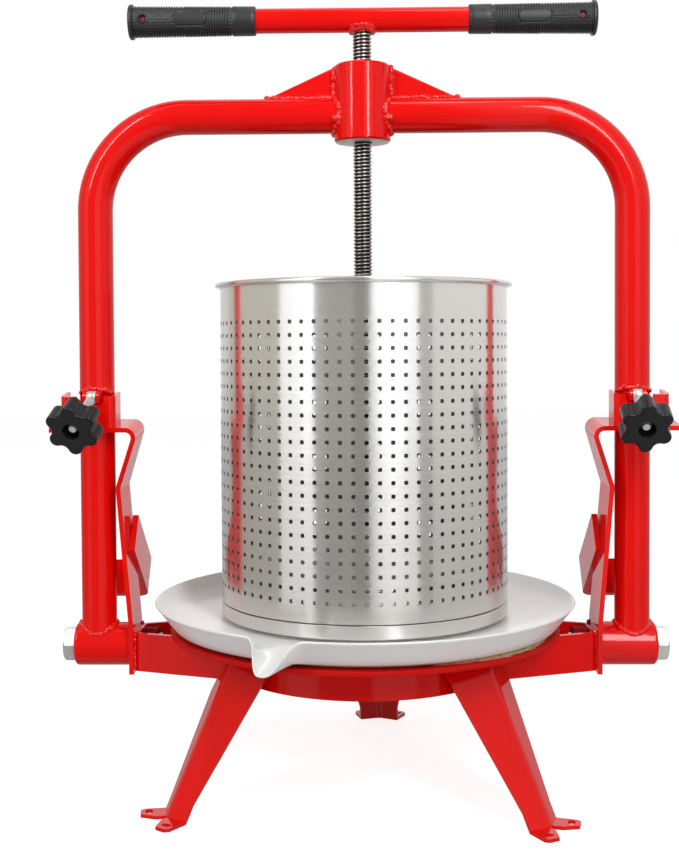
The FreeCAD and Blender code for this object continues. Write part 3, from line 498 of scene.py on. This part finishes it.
def make_floor_pan():
    """Pressed pan: its skirt is flush with the wall, and its rim stands inside the lowest row of holes."""
    pan = bmesh.new()
    outline = [(0.0, 0.1500), (0.1090, 0.1500), (0.1110, 0.1506), (0.1130, 0.1519), (0.1150, 0.1525),
               (0.1214, 0.1525), (0.1221, 0.1520), (0.1223, 0.1505), (0.1226, 0.1501), (0.1230, 0.1502),
               (0.1232, 0.1507), (0.1233, 0.1520), (0.1233, 0.1607), (0.1230, 0.1610), (0.1224, 0.1611),
               (0.1216, 0.1613), (0.1212, 0.1620), (0.1212, 0.1824), (0.1208, 0.1828), (0.1204, 0.1824),
               (0.1204, 0.1620), (0.1208, 0.1570), (0.1214, 0.1547), (0.1204, 0.1540), (0.1150, 0.1537),
               (0.1120, 0.1530), (0.1095, 0.1517), (0.1080, 0.1515), (0.0, 0.1515)]
    lathe(pan, [(radius, 0, height) for radius, height in outline], 240)
    bmesh.ops.remove_doubles(pan, verts=pan.verts, dist=1e-6)
    bmesh.ops.recalc_face_normals(pan, faces=pan.faces)
    piece = make_piece("pressed_floor_pan", pan, brushed_stainless, "basket", sharp=20.0)
    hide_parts("basket_floor")


make_basket()
make_rim_bead()
make_floor_pan()
dress(brushed_stainless, "press_plate", "plate_collar", "collar_pins")


# Yoke: a bent steel tube with the hub in its middle, a plate web on each side of the hub, and
# beads that hold hub, webs, pivot sleeves and lock lugs. It is dipped in the same enamel.

tube_radius = 0.015
beam_z = 0.575
hub_radius = 0.02425
leg_x = 0.231
pivot_z = 0.1195
sleeve_radius = 0.0185
lug_top_z = 0.3398
web_thickness = 0.006
web_low = beam_z + 0.0146
web_top = 0.6166
web_start = 0.0240
web_end = 0.0808
web_weld_y = (-0.0038, 0.0038)
dress(red_enamel, "screw_hub", *pair("yoke_arm"), *pair("pivot_sleeve"), *pair("gusset"),
      *pair("lock_lugs"), *pair("lock_pin"))


def make_web(side, sign):
    """Web beside the hub, cut from 6 mm plate, with the edges of its slope eased by a grinder."""
    web = bmesh.new()
    corners = [(web_start, web_low), (web_end, web_low), (web_end, web_low + 0.0007), (web_start, web_top)]
    front = web.faces.new([web.verts.new((sign * x, -web_thickness / 2, z)) for x, z in corners])
    grown = bmesh.ops.extrude_face_region(web, geom=[front])
    behind = [item for item in grown["geom"] if isinstance(item, bmesh.types.BMVert)]
    bmesh.ops.translate(web, vec=(0, web_thickness, 0), verts=behind)
    bmesh.ops.recalc_face_normals(web, faces=web.faces)
    slope = [edge for edge in web.edges if abs(edge.verts[0].co.y - edge.verts[1].co.y) < 1e-6
             and min(vert.co.z for vert in edge.verts) > web_low + 0.0004]
    bmesh.ops.bevel(web, geom=slope, offset=0.0024, segments=2, affect="EDGES", profile=0.5)
    piece = make_piece(side + "_web", web, red_enamel, "stand", sharp=10.0)
    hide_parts(side + "_gusset")


for side, sign in sides:
    make_web(side, sign)
    around_hub = []
    around_leg = []
    for step in range(25):
        turn = math.tau * step / 24
        along = tube_radius * math.cos(turn)
        y = tube_radius * math.sin(turn)
        around_hub.append((sign * math.sqrt(hub_radius ** 2 - y ** 2), y, beam_z + along))
        around_leg.append((sign * (leg_x + along), y, pivot_z + math.sqrt(sleeve_radius ** 2 - y ** 2)))
    upright = [[(sign * 0.0243, y, beam_z + tube_radius), (sign * 0.0243, y, 0.6150)] for y in web_weld_y]
    foot = [[(sign * 0.026, y, web_low + 0.0001), (sign * 0.0805, y, web_low + 0.0001)] for y in web_weld_y]
    over_lugs = []
    for step in range(13):
        x = 0.013 * (step / 6 - 1)
        over_lugs.append((sign * (leg_x + x), -math.sqrt(tube_radius ** 2 - x ** 2) - 0.0006,
                          lug_top_z + 0.0022 * math.cos(x * 160)))
    weld_bead(side + "_hub_weld", [around_hub] + upright, 0.0056, "stand",
              lumps=[(sign * 0.0240, -0.005, 0.606), (sign * 0.0235, -0.0145, 0.571)])
    weld_bead(side + "_gusset_weld", foot, 0.0046, "stand",
              lumps=[(sign * 0.0815, -0.001, beam_z + 0.0148), (sign * 0.0565, -0.0045, beam_z + 0.0142)])
    weld_bead(side + "_lock_weld", [over_lugs], 0.0042, "stand",
              lumps=[(sign * (leg_x - 0.009), -0.0125, lug_top_z + 0.0017),
                     (sign * (leg_x + 0.002), -0.0155, lug_top_z + 0.0032)])
    weld_bead(side + "_sleeve_weld", [around_leg], 0.0046, "stand",
              lumps=[(sign * (leg_x - 0.012), -0.0115, pivot_z + 0.0155)])


# Lower face of the hub: turned and left bare where the paint was faced off.
# The screw's thread is cut through it.

face_z = 0.5521


def make_turned_steel():
    """Turned mild steel: pale and satin, with a faint pink tint and stains 7 mm across."""
    material, shader = new_material("turned_steel", Metallic=0.3, Roughness=0.45)
    links = material.node_tree.links
    place = add_node(material, "ShaderNodeTexCoord").outputs["Object"]
    stains = add_node(material, "ShaderNodeTexNoise", Vector=place, Scale=150.0, Detail=3.0)
    color = add_node(material, "ShaderNodeMix", {"data_type": "RGBA"}, Factor=stains.outputs["Fac"],
                     A=srgb("#E3D3D2"), B=srgb("#FFF6F5"))
    links.new(color.outputs["Result"], shader.inputs["Base Color"])
    return material


def make_bare_face():
    ring = bmesh.new()
    lathe(ring, [(0.0083, 0, face_z), (0.0226, 0, face_z), (0.0229, 0, face_z + 0.0002)], 96)
    bmesh.ops.recalc_face_normals(ring, faces=ring.faces)
    make_piece("hub_bare_face", ring, make_turned_steel(), "stand")


make_bare_face()


# Pivot bolts: bought hexagon bolts with bright zinc plate, on which the yoke swings.
# Their nuts sit inside the band and are painted dark red, as the shade in there.

def make_zinc_plate():
    """Bright zinc plate: cool grey and satin, with faint cloudy crystals 4 mm across."""
    material, shader = new_material("bright_zinc_plate", Metallic=0.65, Roughness=0.32)
    links = material.node_tree.links
    place = add_node(material, "ShaderNodeTexCoord").outputs["Object"]
    cloud = add_node(material, "ShaderNodeTexNoise", Vector=place, Scale=260.0, Detail=3.0)
    color = add_node(material, "ShaderNodeMix", {"data_type": "RGBA"}, Factor=cloud.outputs["Fac"],
                     A=srgb("#C2C5C4"), B=srgb("#DEE1DF"))
    links.new(color.outputs["Result"], shader.inputs["Base Color"])
    rough = add_node(material, "ShaderNodeMapRange", Value=cloud.outputs["Fac"], To_Min=0.24, To_Max=0.42)
    links.new(rough.outputs["Result"], shader.inputs["Roughness"])
    return material


zinc_plate = make_zinc_plate()
dress(zinc_plate, *pair("pivot_bolt"))

# The nuts are painted dark red as shade, and their flats hardly shine.
dress(make_painted_shade_coat("thin_coat_inside_band", "#8E0A08", roughness=0.7, gloss=0.05), *pair("pivot_nut"))


# Swing bolts: plated steel, an eye turned on one end and a rolled thread on the rest.
# Each hangs on its pin between the lock lugs and lies in the saddle's slot.

lock_y = -0.021
lock_z = 0.335
lock_turns = {"left": -9.0, "right": -2.5}
lock_droop = 28.0
bolt_length = 0.052
bolt_pitch = 0.00125
bolt_radius = 0.004
bolt_root = 0.0034
eye_half_width = 0.0040
eye_bore_radius = 0.0031
eye_radius = 0.0055
eye_edge = 0.0004


def lock_matrix(side, sign):
    """Takes a bolt that points along -Y from the origin to its pin, turned a little and drooping."""
    turned = Matrix.Rotation(math.radians(lock_turns[side]), 4, "Z")
    drooping = Matrix.Rotation(math.radians(lock_droop), 4, "X")
    return Matrix.Translation((sign * leg_x, lock_y, lock_z)) @ turned @ drooping


def cut_thread(mesh, start, length, pitch, crest, root, steps):
    """A thread along +Z: one turn swept up a helix, doubled until it is long enough, then trimmed."""
    levels = [(root, 0.0), (crest, 0.36), (crest, 0.58), (root, 0.86), (root, 1.0)]
    verts = [mesh.verts.new((radius, 0, start + pitch * (level - 2))) for radius, level in levels]
    edges = [mesh.edges.new(ends) for ends in zip(verts, verts[1:])]
    bmesh.ops.spin(mesh, geom=verts + edges, cent=(0, 0, 0), axis=(0, 0, 1), angle=math.tau,
                   dvec=(0, 0, pitch / steps), steps=steps)
    made = pitch
    while made < length + 3 * pitch:
        copied = bmesh.ops.duplicate(mesh, geom=mesh.verts[:] + mesh.edges[:] + mesh.faces[:])
        moved = [item for item in copied["geom"] if isinstance(item, bmesh.types.BMVert)]
        bmesh.ops.translate(mesh, vec=(0, 0, made), verts=moved)
        made *= 2
    bmesh.ops.remove_doubles(mesh, verts=mesh.verts, dist=pitch * 0.02)
    for height, side in ((start, -1), (start + length, 1)):
        bmesh.ops.bisect_plane(mesh, geom=mesh.verts[:] + mesh.edges[:] + mesh.faces[:],
                               plane_co=(0, 0, height), plane_no=(0, 0, side), clear_outer=True)


def make_swing_bolt(side, sign):
    bolt = bmesh.new()
    cut_thread(bolt, 0.006, bolt_length - 0.0075, bolt_pitch, bolt_radius, bolt_radius - 0.0006, 20)
    tip = [(0.0, bolt_length), (bolt_root - 0.0005, bolt_length), (bolt_root, bolt_length - 0.0006),
           (bolt_root, bolt_length - 0.002)]
    lathe(bolt, [(radius, 0, height) for radius, height in tip], 24)
    bmesh.ops.rotate(bolt, cent=(0, 0, 0), matrix=Matrix.Rotation(math.pi / 2, 3, "X"), verts=bolt.verts)
    eye = [(-eye_half_width, eye_bore_radius), (-eye_half_width, eye_radius - eye_edge),
           (eye_edge - eye_half_width, eye_radius), (eye_half_width - eye_edge, eye_radius),
           (eye_half_width, eye_radius - eye_edge), (eye_half_width, eye_bore_radius),
           (-eye_half_width, eye_bore_radius)]
    lathe(bolt, [(across, 0, radius) for across, radius in eye], 40, axis=(1, 0, 0))
    bmesh.ops.remove_doubles(bolt, verts=bolt.verts, dist=1e-6)
    bmesh.ops.recalc_face_normals(bolt, faces=bolt.faces)
    bmesh.ops.transform(bolt, matrix=lock_matrix(side, sign), verts=bolt.verts)
    piece = make_piece(side + "_threaded_bolt", bolt, zinc_plate, side + "_swing_bolt", sharp=50.0)
    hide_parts(side + "_swing_bolt")


for side, sign in sides:
    make_swing_bolt(side, sign)


# Star knobs: black phenolic resin, moulded in one and screwed on to the swing bolts.
# They are left as they come from the mould.

def make_black_resin():
    """Moulded phenolic: near black, a dull grey sheen and a pebble about 1 mm across from the mould."""
    material, shader = new_material("black_phenolic", Roughness=0.3, IOR=1.5, Specular_IOR_Level=0.3)
    links = material.node_tree.links
    place = add_node(material, "ShaderNodeTexCoord").outputs["Object"]
    cloud = add_node(material, "ShaderNodeTexNoise", Vector=place, Scale=60.0, Detail=4.0)
    color = add_node(material, "ShaderNodeMix", {"data_type": "RGBA"}, Factor=cloud.outputs["Fac"],
                     A=srgb("#0B0B0C"), B=srgb("#161617"))
    links.new(color.outputs["Result"], shader.inputs["Base Color"])
    pebble = add_node(material, "ShaderNodeTexNoise", Vector=place, Scale=900.0, Detail=2.0)
    bump = add_node(material, "ShaderNodeBump", Height=pebble.outputs["Fac"], Strength=0.15, Distance=0.0002)
    links.new(bump.outputs["Normal"], shader.inputs["Normal"])
    return material


black_resin = make_black_resin()
dress(black_resin, *pair("knob"))


# Pressing screw: rolled trapezoid thread of 3 mm pitch on dark oiled steel, welded to the handle.
# The crests are painted light and the roots painted dark, as light and shade on the thread.

def make_oiled_steel():
    """Oiled steel thread: dark grey metal, with painted light on the crests and painted shade in the roots,
    broken by dirt in 6 mm patches.
    """
    material, shader = new_material("oiled_thread_steel", Metallic=1.0, Roughness=0.34)
    links = material.node_tree.links
    place = add_node(material, "ShaderNodeTexCoord").outputs["Object"]
    apart = add_node(material, "ShaderNodeSeparateXYZ", Vector=place)
    across = add_node(material, "ShaderNodeMath", {"operation": "POWER"}, _0=apart.outputs["X"], _1=2.0)
    along = add_node(material, "ShaderNodeMath", {"operation": "POWER"}, _0=apart.outputs["Y"], _1=2.0)
    summed = add_node(material, "ShaderNodeMath", {"operation": "ADD"}, _0=across.outputs[0],
                      _1=along.outputs[0])
    radius = add_node(material, "ShaderNodeMath", {"operation": "SQRT"}, _0=summed.outputs[0])
    # Crests are painted light and roots dark, as light and shade on the thread.
    crest_share = add_node(material, "ShaderNodeMapRange", Value=radius.outputs[0], From_Min=0.0070, From_Max=0.0079)
    dirt = add_node(material, "ShaderNodeTexNoise", Vector=place, Scale=160.0, Detail=4.0)
    crest_light_and_dirt = add_node(material, "ShaderNodeMath", {"operation": "MULTIPLY"}, _0=crest_share.outputs["Result"],
                    _1=dirt.outputs["Fac"])
    color = add_node(material, "ShaderNodeMix", {"data_type": "RGBA"}, Factor=crest_light_and_dirt.outputs[0],
                     A=srgb("#3B3733"), B=srgb("#F2EEE8"))
    links.new(color.outputs["Result"], shader.inputs["Base Color"])
    return material


screw_radius = 0.008
screw_pitch = 0.003
screw_end_z = 0.193
groove_radius = 0.006
groove_low = 0.199
groove_top = 0.205
thread_start = 0.2195
thread_length = 0.429
handle_z = 0.6566
weld_rings = [(0.0118, 0.0074), (0.0108, 0.0090), (0.0098, 0.0105)]


def make_screw():
    """The end is turned, with a groove for the pins of the plate's collar, and the rest is threaded."""
    screw = bmesh.new()
    cut_thread(screw, thread_start, thread_length, screw_pitch, screw_radius, screw_radius - 0.0015, 24)
    shank = [(0.0, screw_end_z), (screw_radius - 0.0002, screw_end_z), (screw_radius, screw_end_z + 0.0002),
             (screw_radius, groove_low), (groove_radius, groove_low), (groove_radius, groove_top),
             (screw_radius, groove_top), (screw_radius, thread_start - 0.0003),
             (screw_radius - 0.0014, thread_start + 0.0003), (0.0, thread_start + 0.0003)]
    lathe(screw, [(radius, 0, height) for radius, height in shank], 48)
    bmesh.ops.remove_doubles(screw, verts=screw.verts, dist=1e-6)
    bmesh.ops.recalc_face_normals(screw, faces=screw.faces)
    piece = make_piece("threaded_screw", screw, make_oiled_steel(), "screw", sharp=40.0)
    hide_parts("press_screw")


def weld_handle():
    """Rings of weld under the bar, each smaller and lower than the last, that rise in front and behind."""
    turns = [math.tau * step / 16 for step in range(17)]
    rings = [[(radius * math.cos(turn), radius * math.sin(turn),
               handle_z - drop + 0.0016 * math.sin(turn) ** 2) for turn in turns]
             for radius, drop in weld_rings]
    weld_bead("handle_weld", rings, 0.0034, "screw", lumps=[(-0.0070, -0.0060, handle_z - 0.0100)])


make_screw()
dress(red_enamel, "handle_bar")
weld_handle()


# Grips: charcoal rubber sleeves pushed on to the handle, ribbed, with a smooth thumb pad,
# a plain collar at the inner end, a flange at the outer end and a vent hole that shows the bar.

grip_start = 0.091
grip_end = 0.1995
crest_radius = 0.0121
crest_growth = 0.0012
smooth_rise = 0.0002
collar_end = 0.1115
flange_start = 0.1962
flange_radius = 0.0148
rib_pitch = 0.00225
rib_depth = 0.0009
groove_share = 0.45
ridge_width = 0.00087
ridged_half_width = 0.0095
thumb_middle = 0.1465
thumb_half_length = 0.0095
thumb_half_width = 0.0010
thumb_round = 0.0042
thumb_groove_end = 0.0050
vent_x = 0.187
vent_radius = 0.0030
vent_lip_radius = 0.0042
bar_radius = 0.0106


def make_charcoal_rubber():
    """Moulded rubber: charcoal with a grey bloom in 20 mm clouds, a soft sheen and a grain of 0.7 mm."""
    material, shader = new_material("charcoal_rubber", Roughness=0.45, IOR=1.5)
    links = material.node_tree.links
    place = add_node(material, "ShaderNodeTexCoord").outputs["Object"]
    bloom = add_node(material, "ShaderNodeTexNoise", Vector=place, Scale=45.0, Detail=5.0)
    color = add_node(material, "ShaderNodeMix", {"data_type": "RGBA"}, Factor=bloom.outputs["Fac"],
                     A=srgb("#1B1D1E"), B=srgb("#2A2C2E"))
    links.new(color.outputs["Result"], shader.inputs["Base Color"])
    grain = add_node(material, "ShaderNodeTexNoise", Vector=place, Scale=1500.0, Detail=2.0)
    bump = add_node(material, "ShaderNodeBump", Height=grain.outputs["Fac"], Strength=0.15, Distance=0.0001)
    links.new(bump.outputs["Normal"], shader.inputs["Normal"])
    return material


def grip_radius(x, angle):
    """Surface of the grip: x runs outwards along the bar, and the angle is 0 at the front.
    Ribs run round it, ridges along its front cross them, and the thumb pad has a groove round it."""
    share = (x - grip_start) / (grip_end - grip_start)
    crest = crest_radius + crest_growth * share
    if x > flange_start:
        return flange_radius
    if x < collar_end:
        return crest + smooth_rise
    across = crest * angle
    from_vent = math.hypot(x - vent_x, across)
    if from_vent < vent_radius:
        return bar_radius
    if from_vent < vent_lip_radius:
        return crest + smooth_rise
    from_thumb = Vector((max(0.0, abs(x - thumb_middle) - thumb_half_length),
                         max(0.0, abs(across) - thumb_half_width))).length
    if from_thumb < thumb_round:
        return crest
    if from_thumb < thumb_groove_end:
        return crest - rib_depth
    if abs(across) < ridged_half_width and round(across / ridge_width) % 3 == 0:
        return crest
    phase = (x - collar_end) / rib_pitch % 1.0
    return crest - rib_depth if phase < groove_share else crest


def in_vent(face):
    """Whether a face is the bit of bar that shows at the bottom of the vent hole."""
    middle = face.calc_center_median()
    inside = math.hypot(abs(middle.x) - vent_x, middle.z - handle_z) < vent_radius - 0.0003
    return (inside and middle.y < -0.009
            and all(abs(math.hypot(vert.co.y, vert.co.z - handle_z) - bar_radius) < 1e-5
                    for vert in face.verts))


def make_grip(side, sign):
    grip = bmesh.new()
    count = round((flange_start - collar_end) / (rib_pitch / 4))
    stations = [grip_start + 0.0008, 0.095, 0.10, 0.105, 0.1105]
    stations += [collar_end + (flange_start - collar_end) * step / count for step in range(count + 1)]
    outline = [(grip_start, 0.0105), (grip_start, 0.0114)]
    outline += [(x, 0.012) for x in stations]
    outline += [(flange_start + 0.0002, flange_radius), (grip_end - 0.0008, flange_radius),
                (grip_end, flange_radius - 0.0008), (grip_end, 0.0)]
    lathe(grip, [(x, -radius, 0) for x, radius in outline], 96, axis=(1, 0, 0))
    bmesh.ops.remove_doubles(grip, verts=grip.verts, dist=1e-6)
    for vert in grip.verts:
        x, y, z = vert.co
        if grip_start + 0.0007 < x < flange_start + 0.0001:
            angle = math.atan2(z, -y)
            radius = grip_radius(x, angle)
            vert.co.y = -radius * math.cos(angle)
            vert.co.z = radius * math.sin(angle)
    if sign < 0:
        bmesh.ops.scale(grip, vec=(-1, 1, 1), verts=grip.verts)
    bmesh.ops.recalc_face_normals(grip, faces=grip.faces)
    bmesh.ops.translate(grip, vec=(0, 0, handle_z), verts=grip.verts)
    for face in grip.faces:
        face.material_index = int(in_vent(face))
    piece = make_piece(side + "_ribbed_grip", grip, charcoal_rubber, "screw", sharp=50.0)
    piece.data.materials.append(painted_shade_bar)
    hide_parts(side + "_grip")


charcoal_rubber = make_charcoal_rubber()
# The bar at the bottom of the vent hole is painted dark red, as the shade in the hole.
painted_shade_bar = make_painted_shade_coat("bar_in_vent_hole_painted_shade", "#7C1A1C", roughness=0.6)
for side, sign in sides:
    make_grip(side, sign)


# Floor: a sheet of white paper under the press, which shows the shadow to the camera.
# Steel and enamel mirror it only in part, so that their lower sides stay dark.

def see_white(holder, seen_amount, mirrored_amount):
    """Brightness that only what is seen directly, or is mirrored or seen through glass, gets."""
    ray = add_node(holder, "ShaderNodeLightPath")
    bent = add_node(holder, "ShaderNodeMath", {"operation": "MAXIMUM"}, _0=ray.outputs["Is Glossy Ray"],
                    _1=ray.outputs["Is Transmission Ray"])
    direct = add_node(holder, "ShaderNodeMath", {"operation": "MULTIPLY"}, _0=ray.outputs["Is Camera Ray"],
                      _1=seen_amount)
    return add_node(holder, "ShaderNodeMath", {"operation": "MULTIPLY_ADD"}, _0=bent.outputs[0],
                    _1=mirrored_amount, _2=direct.outputs[0])


def make_floor():
    floor = bmesh.new()
    bmesh.ops.create_grid(floor, x_segments=1, y_segments=1, size=6.0)
    data = bpy.data.meshes.new("floor")
    floor.to_mesh(data)
    floor.free()
    material, shader = new_material("white_paper", Roughness=0.9, Specular_IOR_Level=0.0)
    links = material.node_tree.links
    ray = add_node(material, "ShaderNodeLightPath")
    color = add_node(material, "ShaderNodeMix", {"data_type": "RGBA"}, Factor=ray.outputs["Is Glossy Ray"],
                     A=srgb("#CACACA"), B=srgb("#858585"))
    links.new(color.outputs["Result"], shader.inputs["Base Color"])
    shader.inputs["Emission Color"].default_value = (1, 1, 1, 1)
    lift = see_white(material, 0.82, 0.0)
    links.new(lift.outputs[0], shader.inputs["Emission Strength"])
    clear = add_node(material, "ShaderNodeBsdfTransparent")
    share = add_node(material, "ShaderNodeMath", {"operation": "MULTIPLY"}, _0=ray.outputs["Is Glossy Ray"],
                     _1=0.55)
    mixed = add_node(material, "ShaderNodeMixShader", Fac=share.outputs[0])
    links.new(shader.outputs[0], mixed.inputs[1])
    links.new(clear.outputs[0], mixed.inputs[2])
    links.new(mixed.outputs[0], material.node_tree.nodes["Material Output"].inputs["Surface"])
    data.materials.append(material)
    plane = bpy.data.objects.new("floor", data)
    bpy.context.scene.collection.objects.link(plane)


make_floor()


# The room round the object: white paper behind it, grey walls at both sides, and two tall
# diffusers in front. Each entry is a compass angle, 0 in front and positive to the right,
# with the brightness of the room from there on.

room = [(-180, (1.2, 1.2, 1.2)), (-164, (0.70, 0.69, 0.68)), (-134, (0.56, 0.54, 0.47)),
        (-68, (1.3, 1.3, 1.3)), (-39, (0.36, 0.345, 0.325)), (-7, (0.23, 0.215, 0.20)),
        (6, (1.35, 1.35, 1.35)), (43, (0.53, 0.52, 0.50)), (55, (0.84, 0.83, 0.80)),
        (134, (0.84, 0.84, 0.84)), (164, (1.2, 1.2, 1.2))]
brightest = 1.35
step_half_width = 1.5


def make_world():
    """Mirrored rays see the walls of the room, and all others a soft white that fades upwards."""
    world = bpy.data.worlds.new("studio")
    bpy.context.scene.world = world
    world.use_nodes = True
    links = world.node_tree.links
    background = world.node_tree.nodes["Background"]
    way = add_node(world, "ShaderNodeTexCoord").outputs["Generated"]
    apart = add_node(world, "ShaderNodeSeparateXYZ", Vector=way)
    ahead = add_node(world, "ShaderNodeMath", {"operation": "MULTIPLY"}, _0=apart.outputs["Y"], _1=-1.0)
    turn = add_node(world, "ShaderNodeMath", {"operation": "ARCTAN2"}, _0=apart.outputs["X"],
                    _1=ahead.outputs[0])
    place = add_node(world, "ShaderNodeMapRange", Value=turn.outputs[0], From_Min=-math.pi, From_Max=math.pi)
    walls = add_node(world, "ShaderNodeValToRGB", Fac=place.outputs["Result"])
    stops = walls.color_ramp.elements
    stops[0].position = 0.0
    stops[0].color = [level / brightest for level in room[0][1]] + [1.0]
    stops[1].position = 1.0
    stops[1].color = [level / brightest for level in room[-1][1]] + [1.0]
    for (_, last), (angle, level) in zip(room, room[1:]):
        for at, color in ((angle - step_half_width, last), (angle + step_half_width, level)):
            stop = stops.new((at + 180) / 360)
            stop.color = [channel / brightest for channel in color] + [1.0]
    ray = add_node(world, "ShaderNodeLightPath")
    mirrored = add_node(world, "ShaderNodeMix", {"data_type": "RGBA"}, Factor=ray.outputs["Is Glossy Ray"],
                        A=(1, 1, 1, 1), B=walls.outputs["Color"])
    links.new(mirrored.outputs["Result"], background.inputs["Color"])
    soft = add_node(world, "ShaderNodeMapRange", Value=apart.outputs["Z"], From_Min=0.0, From_Max=0.9,
                    To_Min=0.9, To_Max=0.0)
    behind = add_node(world, "ShaderNodeMapRange", Value=apart.outputs["Y"], From_Min=-0.2, From_Max=0.8,
                      To_Min=1.0, To_Max=1.35)
    around = add_node(world, "ShaderNodeMath", {"operation": "MULTIPLY"}, _0=soft.outputs["Result"],
                      _1=behind.outputs["Result"])
    strength = add_node(world, "ShaderNodeMapRange", Value=see_white(world, 1.0, 1.0).outputs[0],
                        To_Min=around.outputs[0], To_Max=1.0)
    strong = add_node(world, "ShaderNodeMapRange", Value=ray.outputs["Is Glossy Ray"],
                      To_Min=1.0, To_Max=brightest)
    total = add_node(world, "ShaderNodeMath", {"operation": "MULTIPLY"}, _0=strength.outputs["Result"],
                     _1=strong.outputs["Result"])
    links.new(total.outputs[0], background.inputs["Strength"])


make_world()


# Lamps: two tall diffusers in front, left and right, and one above.
# Each has its place, width, height and power.

lamp_target = Vector((0, 0, 0.4))


def make_lamps():
    lamps = [("left_lamp", (-1.0, -1.0, 1.27), 0.19, 1.0, 10.0),
             ("right_lamp", (0.56, -1.31, 1.27), 0.26, 1.1, 15.0),
             ("top_lamp", (0.25, -0.15, 2.3), 0.8, 0.25, 2.4)]
    for name, place, wide, tall, power in lamps:
        lamp = bpy.data.lights.new(name, "AREA")
        lamp.shape = "RECTANGLE"
        lamp.size = wide
        lamp.size_y = tall
        lamp.energy = power
        item = bpy.data.objects.new(name, lamp)
        item.location = place
        item.rotation_euler = (lamp_target - Vector(place)).to_track_quat("-Z", "Y").to_euler()
        bpy.context.scene.collection.objects.link(item)


make_lamps()


# Camera: in front of the press, a little above its middle. Its place, turns, lens and shift
# are a fit to the edges in the photograph.

camera_place = (0, -1.110, 0.3785)
camera_pan = math.radians(1.079)
camera_tilt = math.radians(90 - 1.7)
camera_roll = math.radians(-0.3)


def make_camera():
    camera_data = bpy.data.cameras.new("camera")
    camera_data.lens = 53.29
    camera_data.sensor_width = 36.0
    camera_data.shift_y = -0.0586
    camera_data.clip_start = 0.05
    camera = bpy.data.objects.new("camera", camera_data)
    camera.matrix_world = (Matrix.Translation(camera_place) @ Matrix.Rotation(camera_pan, 4, "Z")
                           @ Matrix.Rotation(camera_tilt, 4, "X") @ Matrix.Rotation(camera_roll, 4, "Z"))
    bpy.context.scene.collection.objects.link(camera)
    bpy.context.scene.camera = camera
    bpy.context.scene.view_settings.view_transform = "Standard"


make_camera()
